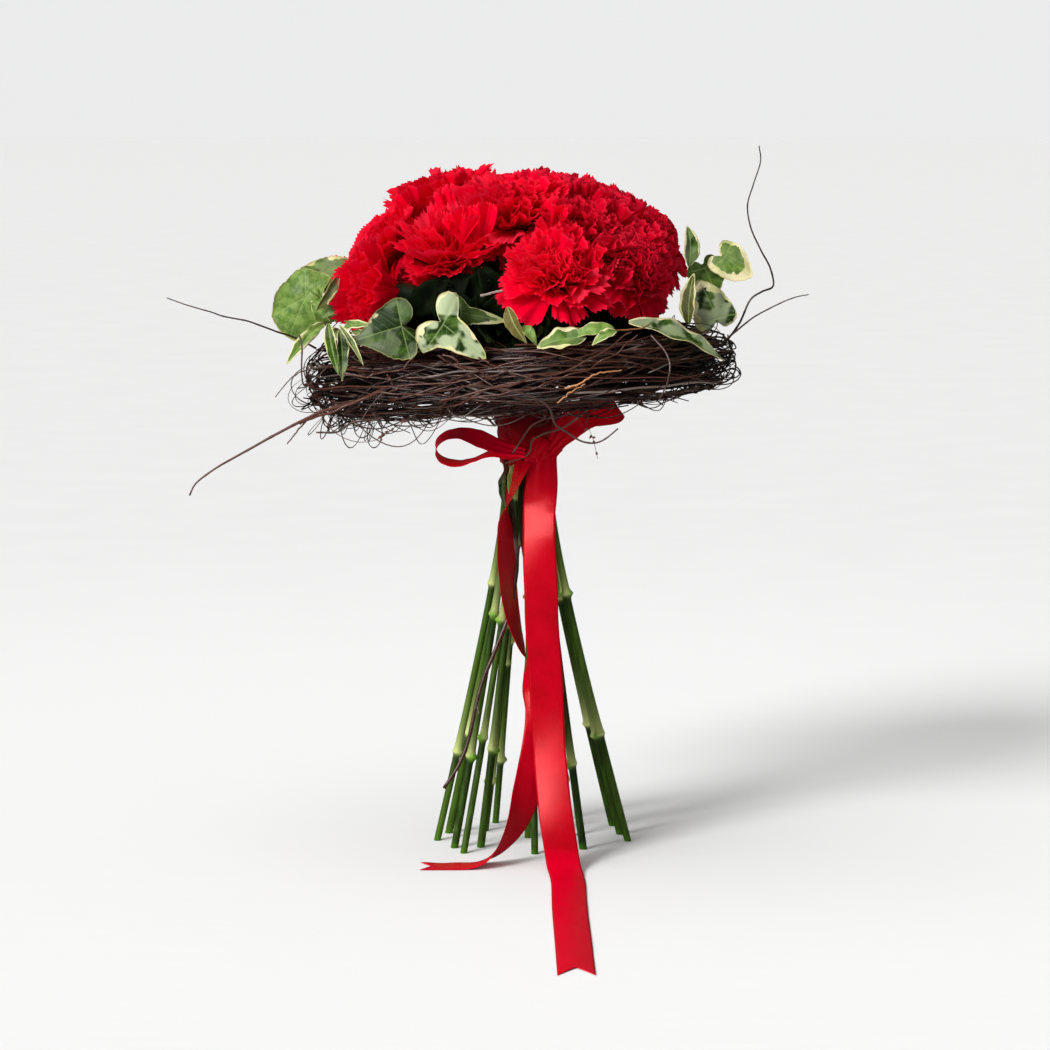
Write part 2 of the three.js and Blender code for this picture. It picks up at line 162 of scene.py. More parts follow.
# The air is one plain tone to the camera, and much dimmer as a light and in reflections.
world = bpy.data.worlds.new("studio_air")
scene.world = world
world.use_nodes = True
air = world.node_tree
seen = air.nodes["Background"]
seen.inputs["Color"].default_value = SEEN_AIR
felt = air.nodes.new("ShaderNodeBackground")
felt.inputs["Color"].default_value = FELT_AIR
path = air.nodes.new("ShaderNodeLightPath")
dimmed = air.nodes.new("ShaderNodeMapRange")
dimmed.inputs["To Min"].default_value = FELT_STRENGTH
dimmed.inputs["To Max"].default_value = MIRRORED_STRENGTH
air.links.new(path.outputs["Is Glossy Ray"], dimmed.inputs["Value"])
air.links.new(dimmed.outputs["Result"], felt.inputs["Strength"])
mixed = air.nodes.new("ShaderNodeMixShader")
air.links.new(path.outputs["Is Camera Ray"], mixed.inputs["Fac"])
air.links.new(felt.outputs["Background"], mixed.inputs[1])
air.links.new(seen.outputs["Background"], mixed.inputs[2])
air.links.new(mixed.outputs["Shader"], air.nodes["World Output"].inputs["Surface"])

# Each light: its power, the direction it comes from, its breadth in degrees, and whether
# shiny pieces mirror it.
for name, power, way, breadth, mirrored in (
    ("key_light", 2.5, (-1.9, -2.2, 1.75), 20, True),
    ("low_light", 1.75, (-2.0, -1.95, 0.5), 50, False),
    ("ceiling_light", 0.92, (-0.8, -0.3, 2.0), 75, False),
):
    light = bpy.data.lights.new(name, "SUN")
    light.energy = power
    light.angle = math.radians(breadth)
    lamp = bpy.data.objects.new(name, light)
    scene.collection.objects.link(lamp)
    lamp.location = way
    x, y, z = way
    tilt = math.pi / 2 - math.atan2(z, math.hypot(x, y))
    lamp.rotation_euler = (tilt, 0, math.atan2(-y, -x) - math.pi / 2)
    lamp.visible_glossy = mirrored


# ---------------------------------------------------------------- carnation stems
# Sixteen cut carnation stems, drawn together in the binding and splayed below it. Each is
# smooth and waxy, swollen at its joints, pale just above them, and cut square at the foot.
STEM_RADIUS = 2.9 * MM
STEM_TAPER = 0.14
STEM_SIDES = 10
STEM_RINGS = 84
NECK_HEIGHT = 288 * MM
NECK_RINGS = {"outer": 14.8 * MM, "inner": 7.2 * MM}
NECK_SOFTNESS = 0.3
CALYX_TO_CENTRE = 36 * MM
FIRST_JOINT = (34, 84)  # in mm up from the foot
JOINT_SPACING = (84 * MM, 126 * MM)
LAST_JOINT = 40 * MM  # the least length of stem above the last joint
SHEATH_SWELL = 0.75  # how far a joint's sheath, knob and bud stand out, in mm
KNOB_SWELL = 0.5
BUD_SWELL = 2.3

# Each carnation: centre of its petal ball in mm, the way it faces (degrees round from +X,
# degrees down from upright), its place in the neck, and its foot in mm.
CARNATIONS = [
    ((88, 14, 438), (5, 56), ("outer", 16), (68, 13)),
    ((74, 66, 432), (40, 56), ("outer", 49), (63, 45)),
    ((26, 118, 422), (72, 60), ("outer", 82), (20, 62)),
    ((-34, 88, 431), (108, 56), ("outer", 114), (-24, 56)),
    ((-86, 54, 428), (146, 55), ("outer", 147), (-58, 18)),
    ((-98, -4, 432), (178, 54), ("outer", 180), (-66, -9)),
    ((-108, -57, 405), (174, 82), ("outer", 243), (-46, -55)),
    ((-55, -42, 425), (228, 18), ("outer", 213), (-53, -36)),
    ((20, -82, 417), (284, 34), ("outer", 278), (5, -58)),
    ((36, -40, 440), (300, 24), ("outer", 311), (40, -41)),
    ((74, -54, 418), (325, 50), ("outer", 344), (73, -12)),
    ((43, 6, 459), (350, 26), ("inner", 350), (32, 6)),
    ((36, 58, 456), (52, 30), ("inner", 62), (14, 30)),
    ((-16, 44, 463), (95, 22), ("inner", 134), (-32, 26)),
    ((-60, 24, 459), (160, 28), ("inner", 206), (-34, -34)),
    ((-9, -28, 453), (262, 26), ("inner", 278), (0, 0)),
]


def heading(around, down):
    flat = math.sin(math.radians(down))
    turn = math.radians(around)
    return np.array([flat * math.cos(turn), flat * math.sin(turn), math.cos(math.radians(down))])


def stem_route(carnation):
    """A stem's middle line, from its foot through the neck to its calyx."""
    centre, facing, (ring, slot), foot = carnation
    turn = math.radians(slot)
    neck = np.array([NECK_RINGS[ring] * math.cos(turn), NECK_RINGS[ring] * math.sin(turn), NECK_HEIGHT])
    foot = np.array([foot[0] * MM, foot[1] * MM, 0.0])
    down = 1 - np.linspace(0, 1, 46, endpoint=False)
    whole = math.hypot(NECK_SOFTNESS, 1) - NECK_SOFTNESS
    spread = (np.hypot(NECK_SOFTNESS, down) - NECK_SOFTNESS) / whole
    below = neck + (foot - neck) * spread[:, None]
    below[:, 2] = NECK_HEIGHT * (1 - down)
    axis = heading(*facing)
    top = np.array(centre) * MM - axis * CALYX_TO_CENTRE
    rise = top[2] - NECK_HEIGHT
    leave = neck + (0, 0, 0.45 * rise)
    arrive = top - axis * 0.4 * rise
    t = np.linspace(0, 1, 34)[:, None]
    above = (1 - t) ** 3 * neck + 3 * t * (1 - t) ** 2 * leave + 3 * t * t * (1 - t) * arrive + t ** 3 * top
    return np.vstack([below, above])


def run_length(points):
    steps = np.linalg.norm(np.diff(points, axis=0), axis=1)
    return np.concatenate([[0.0], np.cumsum(steps)])


def resample(points, count):
    """The same route at evenly spaced points, rounded through its corners."""
    points = np.asarray(points, float)
    ends = np.vstack([2 * points[0] - points[1], points, 2 * points[-1] - points[-2]])
    fine = []
    for k in range(1, len(ends) - 2):
        a, b, c, d = ends[k - 1], ends[k], ends[k + 1], ends[k + 2]
        t = np.linspace(0, 1, 16, endpoint=False)[:, None]
        curve = 2 * b + (c - a) * t + (2 * a - 5 * b + 4 * c - d) * t ** 2
        fine.append(0.5 * (curve + (3 * b - a - 3 * c + d) * t ** 3))
    fine = np.vstack([*fine, points[-1:]])
    run = run_length(fine)
    even = np.linspace(0, run[-1], count)
    return np.stack([np.interp(even, run, fine[:, k]) for k in range(fine.shape[1])], axis=1)


def tube(points, radii, sides, level_foot=False):
    """A closed round tube along points, with one radius for each point or each corner."""
    points = np.asarray(points, float)
    count = len(points)
    radii = np.asarray(radii, float)
    if radii.ndim == 1:
        radii = np.repeat(radii[:, None], sides, axis=1)
    tangents = np.gradient(points, axis=0)
    tangents /= np.linalg.norm(tangents, axis=1)[:, None]
    if level_foot:
        tangents[0] = (0, 0, 1)
    side = np.cross(tangents[0], (0.3, 0.9, 0.1) if abs(tangents[0][1]) < 0.8 else (1, 0, 0.2))
    rings = []
    angle = np.arange(sides) * 2 * math.pi / sides
    for k in range(count):
        side = side - tangents[k] * side.dot(tangents[k])
        side /= np.linalg.norm(side)
        other = np.cross(tangents[k], side)
        ring = np.outer(np.cos(angle), side) + np.outer(np.sin(angle), other)
        rings.append(points[k] + ring * radii[k][:, None])
    verts = np.vstack([*rings, points[:1], points[-1:]])
    a = np.arange(count - 1)[:, None] * sides + np.arange(sides)
    b = np.arange(count - 1)[:, None] * sides + (np.arange(sides) + 1) % sides
    quads = np.stack([a, b, b + sides, a + sides], axis=-1).reshape(-1, 4)
    k = np.arange(sides)
    last = (count - 1) * sides
    foot = np.stack([(k + 1) % sides, k, np.full(sides, count * sides)], axis=1)
    head = np.stack([last + k, last + (k + 1) % sides, np.full(sides, count * sides + 1)], axis=1)
    return verts, quads.tolist() + foot.tolist() + head.tolist()


def along_tube(values, sides):
    """One value a ring or a corner, laid out for a tube's corners and its two end points."""
    values = np.asarray(values, float)
    if values.ndim == 1:
        values = np.repeat(values[:, None], sides, axis=1)
    return np.concatenate([values.ravel(), values[0, :1], values[-1, :1]])


class Shape:
    """Several patches gathered in one mesh, with named values at each corner."""

    def __init__(self, *names):
        self.verts, self.faces, self.count = [], [], 0
        self.values = {name: [] for name in names}

    def add(self, verts, faces, **values):
        self.verts.append(np.asarray(verts, float))
        self.faces += [[index + self.count for index in face] for face in faces]
        self.count += len(verts)
        for name, stored in self.values.items():
            stored.append(np.broadcast_to(np.asarray(values.get(name, 0.0), float), (len(verts),)))

    def piece(self, name, finish, nodes=()):
        mesh = bpy.data.meshes.new(name)
        mesh.from_pydata(np.vstack(self.verts).tolist(), [], self.faces)
        for key, stored in self.values.items():
            made = mesh.attributes.new(key, "FLOAT", "POINT")
            made.data.foreach_set("value", np.concatenate(stored).astype(np.float32))
        mesh.polygons.foreach_set("use_smooth", [True] * len(mesh.polygons))
        mesh.materials.append(finish.material)
        mesh.update()
        made = bpy.data.objects.new(name, mesh)
        scene.collection.objects.link(made)
        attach(made, "root")
        if nodes:
            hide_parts(*nodes)
        return made


stem_skin = Finish("waxy_stem", 0.38, 0.22)
stem_skin.colour(stem_skin.coats(
    tint(10, 20, 2),
    (stem_skin.ramp(stem_skin.noise(60.0, 4.0, (6, 6, 0.5)), 0.35, 0.68), tint(44, 72, 12)),
    (stem_skin.attribute("light"), tint(92, 130, 32)),
    (stem_skin.part(stem_skin.ramp(stem_skin.noise(24.0, 2.0), 0.5, 0.75), 0.4), tint(48, 78, 24)),
    (stem_skin.part(stem_skin.attribute("deep"), 0.75), tint(14, 32, 14)),
    (stem_skin.attribute("pale"), tint(204, 214, 134)),
    (stem_skin.attribute("fresh"), tint(86, 146, 16)),
))
stem_skin.relief(stem_skin.noise(700.0, 2.0, (3, 3, 0.6)), 0.25, 0.0004)

for index, carnation in enumerate(CARNATIONS):
    draw = np.random.default_rng(100 + index)
    route = resample(stem_route(carnation), 400)
    run = run_length(route)
    joints = []
    at = draw.uniform(*FIRST_JOINT) * MM
    while at < run[-1] - LAST_JOINT:
        joints.append(at)
        at += draw.uniform(*JOINT_SPACING)

    # Rings stand closer at the joints, which swell in a sheath, a knob and a bud at one side.
    places = [joint + np.linspace(-6, 7, 13) * MM for joint in joints]
    places = np.unique(np.concatenate([np.linspace(0, run[-1], STEM_RINGS), *places]).round(5))
    points = np.stack([np.interp(places, run, route[:, k]) for k in range(3)], axis=1)
    radii = STEM_RADIUS * draw.uniform(0.84, 1.12) * (1 - STEM_TAPER * places / run[-1])
    radii = np.repeat(radii[:, None], STEM_SIDES, axis=1)
    pale = np.zeros(len(places))
    deep = np.zeros(len(places))
    fresh = np.zeros(radii.shape)
    corner = np.arange(STEM_SIDES) * 2 * math.pi / STEM_SIDES
    for joint in joints:
        away = places - joint
        faded = np.where(away > 0, draw.uniform(7, 15), 0.9) * MM
        sheath = np.exp(-np.abs(away) / faded)
        knob = np.exp(-(((away - 1 * MM) / (2.0 * MM)) ** 2))
        bud = np.exp(-((away / (2.4 * MM)) ** 2))[:, None]
        bud = bud * np.maximum(0, np.cos(corner - draw.uniform(0, 2 * math.pi))) ** 2 * draw.uniform(0.5, 1)
        radii += (sheath * SHEATH_SWELL * MM + knob * KNOB_SWELL * MM)[:, None] + bud * BUD_SWELL * MM
        pale = np.maximum(pale, sheath * draw.uniform(0.6, 1.0))
        deep = np.maximum(deep, np.where(away < 0, np.exp(-np.abs(away) / (22 * MM)), 0))
        fresh = np.maximum(fresh, np.clip(1.5 * bud, 0, 1))
    fresh[:1] = 0.5  # the new cut across the foot
    shape = Shape("pale", "fresh", "deep", "light")
    verts, faces = tube(points, radii, STEM_SIDES, level_foot=True)
    shape.add(
        verts, faces, pale=along_tube(pale, STEM_SIDES), fresh=along_tube(fresh, STEM_SIDES),
        deep=along_tube(deep, STEM_SIDES), light=draw.uniform(0.0, 0.45),
    )
    shape.piece(f"stem_{index + 1:02d}", stem_skin, [f"carnation_stem_{index + 1:02d}"])


# ---------------------------------------------------------------- carnation blooms
# Sixteen full carnations, packed so close that their petals press together. Each has a green
# calyx with five teeth and fifty-eight fan-shaped petals, frilled and toothed along the rim.
CALYX_HEIGHT = 24 * MM
CALYX_RADIUS = 6.8 * MM
CALYX_GRID = (12, 30)  # grids are rows from the root to the rim, and columns across
PETAL_GRID = (9, 31)
HEART_GRID = (7, 25)
HEART_LAYERS = 2
TOOTH_DEPTH = 0.04
BALL_RADIUS = 38 * MM
NEIGHBOUR_REACH = 78 * MM
PETAL_SLACK = (-3 * MM, 8 * MM)  # how far a petal stays behind or crosses the middle of a seam
PETAL_SWAY = (-18, 18)  # how far one petal opens differently from its layer, in degrees
LENGTH_RANGE = (0.85, 1.13)
SPREAD_RANGE = (0.85, 1.12)
FULLEST = 0.3  # the part by which a crowded bloom may swell beyond its ball
DOME_CENTRE = np.array([-12, 17, 406]) * MM
DOME_SIZE = np.array([125, 135, 77]) * MM

# Petal layers from the rim of the bloom to its heart: how many, length, how far they open
# from the axis in degrees, spread of the fan in mm, depth of the frill in mm, and how far
# a petal may be twisted on its own middle line, in degrees.
PETAL_LAYERS = [
    (8, 38, 86, 41, 1.7, 8),
    (9, 39, 74, 39, 2.1, 12),
    (9, 40, 61, 37, 2.6, 18),
    (9, 40, 48, 34, 3.1, 26),
    (9, 40, 35, 30, 3.6, 34),
    (8, 40, 22, 26, 4.0, 40),
    (6, 39, 9, 22, 4.2, 45),
]

# A usual bloom, and how single ones differ: how wide it opens, its size, the depth of its
# frills, how far it stands out of the dome, its depth from front to back, how firmly the dome
# holds its petals in, and how much painted shade darkens its red, on the blooms at the
# right, away from the key light.
USUAL = dict(opens=1, size=1, frills=1, stands=1, squash=1, held=0.25, deeper=0)
UNUSUAL = {
    1: dict(stands=1.02, deeper=0.5),
    2: dict(stands=1.06, deeper=0.45),
    4: dict(stands=0.96),
    5: dict(size=0.88, stands=0.9, held=0.6),
    6: dict(held=0.4),
    7: dict(opens=0.62, size=1.38, frills=0.9, squash=0.8),
    8: dict(opens=0.78, size=1.02, frills=0.6),
    9: dict(opens=0.9, size=0.87),
    10: dict(deeper=0.3),
    11: dict(deeper=0.45),
    12: dict(stands=1.05, deeper=0.35),
    13: dict(stands=1.04, deeper=0.2),
    14: dict(stands=0.97),
    15: dict(stands=1.1, held=0.4),
    16: dict(stands=1.03),
}

# Big petals that hang from the lowest blooms: turn round the axis, length, opening, spread,
# and, for some, how far below the rim of the calyx they start.
GUARD_FRILL = 2.3 * MM
GUARD_TWIST = 14
GUARD_DROP = 2
GUARD_PETALS = {
    7: [
        (-90, 50, 44, 34), (-70, 50, 54, 32), (-110, 50, 54, 32), (-90, 44, 66, 34), (-130, 41, 62, 32),
        (-50, 48, 62, 32), (-150, 39, 62, 32), (-30, 46, 70, 30), (-170, 38, 62, 30), (170, 34, 70, 30),
        (-100, 36, 88, 30), (-60, 36, 88, 30), (-10, 46, 62, 32), (-90, 46, 50, 36, 12),
        (-115, 46, 58, 34, 12), (-140, 39, 60, 34, 12), (-65, 46, 58, 34, 12), (-100, 42, 74, 34, 12),
    ],
    8: [
        (-150, 38, 74, 46), (-115, 38, 70, 46), (-80, 38, 72, 46), (-45, 40, 76, 36), (-10, 38, 80, 30),
        (-26, 38, 72, 30), (178, 36, 84, 30), (205, 36, 76, 30), (-150, 44, 110, 34), (-172, 42, 106, 32),
    ],
    9: [(-132, 43, 110, 44), (-64, 38, 106, 30), (-158, 40, 96, 38)],
    11: [(-112, 42, 112, 36), (-76, 40, 106, 36), (-20, 40, 100, 40), (-140, 38, 90, 34)],
    16: [(-95, 38, 92, 36), (-140, 38, 86, 34), (-60, 38, 90, 36), (-115, 38, 100, 30), (-78, 38, 98, 30)],
}
LOW_BLOOMS = 11  # the first eleven blooms, which all have guard petals
USUAL_GUARDS = [(turn, 40, 112, 42) for turn in (-76, -38, 0, 38, 76)]  # round from its lowest side

# Petals squeezed out of the seam between two blooms.
SEAM_PETALS = 3
SEAM_ROOT = 31 * MM
SEAM_TWIST = 30

petal_skin = Finish(
    "carnation_petal", 0.6, 0.12, Specular_Tint=tint(255, 110, 130), Sheen_Weight=0.12,
    Sheen_Roughness=0.35, Sheen_Tint=tint(255, 60, 100),
)
reach = petal_skin.attribute("reach")
mood = petal_skin.attribute("mood")
# The rims are painted pinker, partly their own paler edge and partly painted highlight, and a few petals at
# random get a painted highlight towards the tip.
rim = petal_skin.part(petal_skin.ramp(reach, 0.9, 1.0), 0.3)
painted_glint = petal_skin.part(petal_skin.ramp(mood, 0.86, 0.97), petal_skin.ramp(reach, 0.45, 0.95))
red = petal_skin.coats(
    tint(214, 0, 26),
    (petal_skin.ramp(reach, 0.2, 0.85), tint(248, 0, 46)),
    (petal_skin.part(mood, 0.6), tint(216, 0, 44)),
    # Painted shade: the blooms on the right, away from the key light, are painted a deeper red.
    (petal_skin.attribute("deeper"), tint(152, 0, 20)),
    (petal_skin.part(petal_skin.ramp(petal_skin.noise(420.0, 3.0), 0.45, 0.8), 0.3), tint(250, 8, 58)),
    (petal_skin.math("MAXIMUM", rim, petal_skin.part(painted_glint, 0.5)), tint(255, 62, 92)),
)
petal_skin.colour(red)
petal_skin.relief(petal_skin.noise(900.0, 2.0), 0.15, 0.0005)
glow = petal_skin.node("ShaderNodeBsdfTranslucent", Color=red)
leafy = petal_skin.node("ShaderNodeMixShader", Fac=0.36)
petal_skin.feed(leafy, {1: petal_skin.surface.outputs["BSDF"], 2: glow.outputs["BSDF"]})
petal_skin.feed(petal_skin.tree.nodes["Material Output"], {"Surface": leafy.outputs["Shader"]})

# The calyx is painted a darker green than its own, as painted shade under the packed blooms.
calyx_skin = Finish("carnation_calyx", 0.5, 0.4)
mottle = calyx_skin.noise(160.0, 3.0, (1, 1, 0.3))
calyx_skin.colour(calyx_skin.coats(tint(10, 20, 5), (mottle, tint(26, 42, 14))))
calyx_skin.relief(calyx_skin.noise(500.0, 2.0), 0.2, 0.0005)


def grid_faces(rows, columns, closed=False):
    wide = columns if closed else columns - 1
    a = np.arange(rows - 1)[:, None] * columns + np.arange(wide)
    b = np.arange(rows - 1)[:, None] * columns + (np.arange(wide) + 1) % columns
    return np.stack([a, b, b + columns, a + columns], axis=-1).reshape(-1, 4).tolist()


def petal(draw, grid, length, opening, spread, frill, twist):
    """One petal, growing from the origin along +Z and bending out towards +X."""
    rows, columns = grid
    u = np.linspace(-1, 1, columns)[None, :]
    v = np.linspace(0, 1, rows)[:, None] ** 0.85
    teeth = np.where(np.arange(columns) % 2, -1.0, 0.7) * draw.uniform(0.3, 1.4, columns)
    rim = 1 - 0.19 * np.abs(u) ** 2.2 - 0.035 * np.cos(5 * u + draw.uniform(0, 6))
    reach = v * (rim + v ** 10 * teeth[None, :] * TOOTH_DEPTH)
    bend = opening * 1.18 * reach / (reach + 0.18)
    angle = np.radians(bend + draw.uniform(-16, 22) * v ** 3)
    gap = np.diff(np.vstack([np.zeros_like(reach[:1]), reach]), axis=0) * length
    out = 1.5 * MM + np.cumsum(np.sin(angle) * gap, axis=0)
    up = np.cumsum(np.cos(angle) * gap, axis=0)
    side = u * 0.5 * spread * (0.10 + 0.90 * v ** 0.85)
    phase = draw.uniform(0, 2 * math.pi, 3)
    wave = np.sin(6.0 * u + phase[0]) + 0.6 * np.sin(11 * u + phase[1]) + 0.35 * np.sin(21 * u + phase[2])
    roll = np.radians(twist * draw.uniform(-1, 1)) * v
    cup = 0.009 * (side / MM) ** 2 * MM * (1 - opening / 150)
    lift = frill * wave * v ** 1.8 + cup
    above = lift * np.cos(roll) + side * np.sin(roll)
    x = out - np.cos(angle) * above
    z = up + np.sin(angle) * above
    y = side * np.cos(roll) - lift * np.sin(roll) + 0.10 * frill * np.cos(11 * u + phase[1]) * v
    verts = np.stack([x, y + 0 * x, z], axis=-1).reshape(-1, 3)
    return verts, np.broadcast_to(v, reach.shape).ravel()


def turned(axis):
    """Columns of a frame whose third direction is axis."""
    first = np.cross((0, 1, 0.2), axis)
    first /= np.linalg.norm(first)
    return np.stack([first, np.cross(axis, first), axis], axis=1)


def set_in(verts, turn, level, bloom_frame, base):
    """A petal, turned about its bloom's axis and lifted to this level in the calyx."""
    spin = np.array([[math.cos(turn), -math.sin(turn), 0], [math.sin(turn), math.cos(turn), 0], [0, 0, 1]])
    return (verts @ spin.T + (0, 0, level)) @ bloom_frame.T + base


def fill_out(verts, home, neighbours, slack, stands, held):
    """Packed blooms swell to fill one common dome and flatten where they meet each other."""
    offset = verts - home
    away = np.linalg.norm(offset, axis=1)
    way = offset / away[:, None]
    room = np.full(len(verts), 1.0)
    crowd = np.zeros(len(verts))
    for other in neighbours:
        apart = np.linalg.norm(other - home)
        facing = way @ (other - home) / apart
        room = np.minimum(room, (apart / 2 + slack) / np.maximum(facing, 0.02))
        close = np.clip(2.6 - apart / BALL_RADIUS, 0, 1)
        crowd = np.maximum(crowd, np.clip((facing - 0.1) / 0.5, 0, 1) * close)
    dome = DOME_SIZE * stands
    across = way / dome
    start = (home - DOME_CENTRE) / dome
    a, b, c = np.sum(across * across, axis=1), across @ start, start @ start - 1
    room = np.minimum(room, (-b + np.sqrt(b * b - a * c)) / a)
    fuller = np.clip(room / BALL_RADIUS, 0.6, 1 + FULLEST * crowd)
    grown = home + offset * (1 + (fuller - 1) * np.clip(away / BALL_RADIUS, 0, 1) ** 1.6)[:, None]
    depth = np.linalg.norm((grown - DOME_CENTRE) / dome, axis=1)
    flatten = 1 - held * np.maximum(depth - 1, 0) / depth
    return DOME_CENTRE + (grown - DOME_CENTRE) * flatten[:, None]


def without_seam_petals(spot):
    """The heart's cleft, the lowest edge of the dome, and the air over its left lobe."""
    x, y, z = spot / MM
    in_cleft = y < -40 and -120 < x < 20 and z < 460
    return in_cleft or z < 412 or (x < -90 and z > 441)


faces_of = {grid: grid_faces(*grid) for grid in (PETAL_GRID, HEART_GRID)}
centres = [np.array(carnation[0]) * MM for carnation in CARNATIONS]
for index, carnation in enumerate(CARNATIONS):
    own = {**USUAL, **UNUSUAL.get(index + 1, {})}
    draw = np.random.default_rng(300 + index)
    home = centres[index]
    axis = heading(*carnation[1])
    base = home - axis * CALYX_TO_CENTRE
    bloom_frame = turned(axis)
    neighbours = [c for c in centres if 0 < np.linalg.norm(c - home) < NEIGHBOUR_REACH]
    size = draw.uniform(0.96, 1.06) * own["size"]
    shape = Shape("reach", "mood", "deeper")

    for layer, (count, length, opening, spread, frill, twist) in enumerate(PETAL_LAYERS):
        opening *= own["opens"]
        level = CALYX_HEIGHT - 3 * MM + 0.5 * layer * MM
        grid = PETAL_GRID if layer < len(PETAL_LAYERS) - HEART_LAYERS else HEART_GRID
        offset = draw.uniform(0, 2 * math.pi)
        for k in range(count):
            turn = offset + (k + draw.uniform(-0.25, 0.25)) * 2 * math.pi / count
            outward = bloom_frame[:, 0] * math.cos(turn) + bloom_frame[:, 1] * math.sin(turn)
            crowd = max([0] + [outward @ (c - home) / np.linalg.norm(c - home) for c in neighbours])
            crowd = crowd ** 3 if opening > 30 else 0
            grown = length * size * draw.uniform(*LENGTH_RANGE) * MM * (1 + 0.12 * crowd)
            opened = opening + draw.uniform(*PETAL_SWAY) - 20 * crowd
            wide = spread * draw.uniform(*SPREAD_RANGE) * MM
            frilled = frill * own["frills"] * MM
            verts, reached = petal(draw, grid, grown, opened, wide, frilled, twist * own["frills"])
            verts = set_in(verts, turn, level, bloom_frame, base)
            verts[:, 1] = home[1] + (verts[:, 1] - home[1]) * own["squash"]
            slack = draw.uniform(*PETAL_SLACK)
            verts = fill_out(verts, home, neighbours, slack, own["stands"], own["held"])
            shape.add(verts, faces_of[grid], reach=reached, mood=draw.uniform(0, 1), deeper=own["deeper"])

    guards = GUARD_PETALS.get(index + 1, [])
    if index < LOW_BLOOMS and not guards:
        lowest = math.degrees(math.atan2(-bloom_frame[2, 1], -bloom_frame[2, 0]))
        for turn, length, opening, spread in USUAL_GUARDS:
            guards.append((lowest + turn, length, opening * own["opens"], spread))
    for turn, length, opening, spread, *drop in guards:
        level = CALYX_HEIGHT - (drop[0] if drop else GUARD_DROP) * MM
        verts, reached = petal(
            draw, PETAL_GRID, length * MM, opening, spread * MM, GUARD_FRILL, GUARD_TWIST,
        )
        verts = set_in(verts, math.radians(turn), level, bloom_frame, base)
        shape.add(verts, faces_of[PETAL_GRID], reach=reached, mood=0.3, deeper=own["deeper"])

    # Petals squeezed out of the seams between blooms stand up level with the dome.
    for other in neighbours:
        apart = other - home
        for _ in range(SEAM_PETALS):
            middle = home + apart * draw.uniform(0.36, 0.5)
            outward = (middle - DOME_CENTRE) / DOME_SIZE ** 2
            outward /= np.linalg.norm(outward)
            middle = middle + np.cross(outward, apart / np.linalg.norm(apart)) * draw.uniform(-19, 19) * MM
            depth = np.linalg.norm((middle - DOME_CENTRE) / (DOME_SIZE * own["stands"]))
            top = DOME_CENTRE + (middle - DOME_CENTRE) / depth
            if without_seam_petals(top):
                continue
            lean = outward + draw.normal(0, 0.24, 3)
            lean /= np.linalg.norm(lean)
            verts, reached = petal(
                draw, HEART_GRID, draw.uniform(30, 35) * MM, draw.uniform(2, 34), draw.uniform(19, 28) * MM,
                draw.uniform(2.4, 4.2) * MM, SEAM_TWIST,
            )
            spin = draw.uniform(0, 2 * math.pi)
            side = turned(lean)
            turn_x = side[:, 0] * math.cos(spin) + side[:, 1] * math.sin(spin)
            verts = top - lean * SEAM_ROOT + verts @ np.stack([turn_x, np.cross(lean, turn_x), lean])
            shape.add(
                verts, faces_of[HEART_GRID], reach=reached, mood=draw.uniform(0, 1),
                deeper=own["deeper"],
            )
    shape.piece(f"petals_{index + 1:02d}", petal_skin, [f"carnation_bloom_{index + 1:02d}"])

    height = np.linspace(0, 1, CALYX_GRID[0])[:, None]
    angle = np.arange(CALYX_GRID[1]) * 2 * math.pi / CALYX_GRID[1]
    swell = CALYX_RADIUS * (0.45 + 0.55 * np.sin(np.clip(height * 3.2, 0, math.pi / 2)))
    swell = swell + 1.5 * MM * height ** 2
    tooth = 0.16 * np.maximum(0, np.cos(5 * angle)) ** 1.5 * 1.6
    level = CALYX_HEIGHT * 0.9 * height * (1 + tooth * height ** 4)
    verts = np.stack([swell * np.cos(angle), swell * np.sin(angle), level], axis=-1)
    cup = Shape()
    cup.add(verts.reshape(-1, 3) @ bloom_frame.T + base, grid_faces(*CALYX_GRID, closed=True))
    cup.piece(f"calyx_{index + 1:02d}", calyx_skin)


# ---------------------------------------------------------------- nest of twigs
# A heart-shaped wreath of thin brown twigs, wound round and round by hand. The roll is fatter
# and looser at the left, and the twig ends stick out all round it.
NEST_CENTRE_X = -5
NEST_RADIUS = 132
NEST_HEIGHT = 346
NEST_SLOPE = 0.056
NEST_HALF_WIDTH = 24
NEST_HALF_HEIGHT = 23.5
NEST_THINNING = 0.02

# How the heart departs from a circle: direction in degrees, mm outward, spread in degrees.
CLEFT = (250, -24, 26)
POINT = (70, 18, 30)


def swelling(angle, centre, height, spread):
    away = (angle - centre + 540) % 360 - 180
    return height * np.exp(-((away / spread) ** 2))


def nest_middle(angle):
    """The middle of the roll, in mm, at these angles in degrees."""
    radius = NEST_RADIUS + swelling(angle, *CLEFT) + swelling(angle, *POINT)
    x = radius * np.cos(np.radians(angle))
    y = radius * np.sin(np.radians(angle))
    return np.stack([x + NEST_CENTRE_X, y, NEST_HEIGHT + NEST_SLOPE * x], axis=-1)


def nest_spot(angle, across, above):
    """A place in the roll: across and above are parts of its half width and half height."""
    middle = nest_middle(angle)
    along = nest_middle(angle + 0.5) - nest_middle(angle - 0.5)
    along /= np.linalg.norm(along, axis=-1)[..., None]
    outward = np.cross(along, (0, 0, 1))
    upward = np.cross(outward, along)
    height = NEST_HALF_HEIGHT - NEST_THINNING * middle[..., 0]
    spot = middle + outward * (across * NEST_HALF_WIDTH)[..., None] + upward * (above * height)[..., None]
    return spot * MM


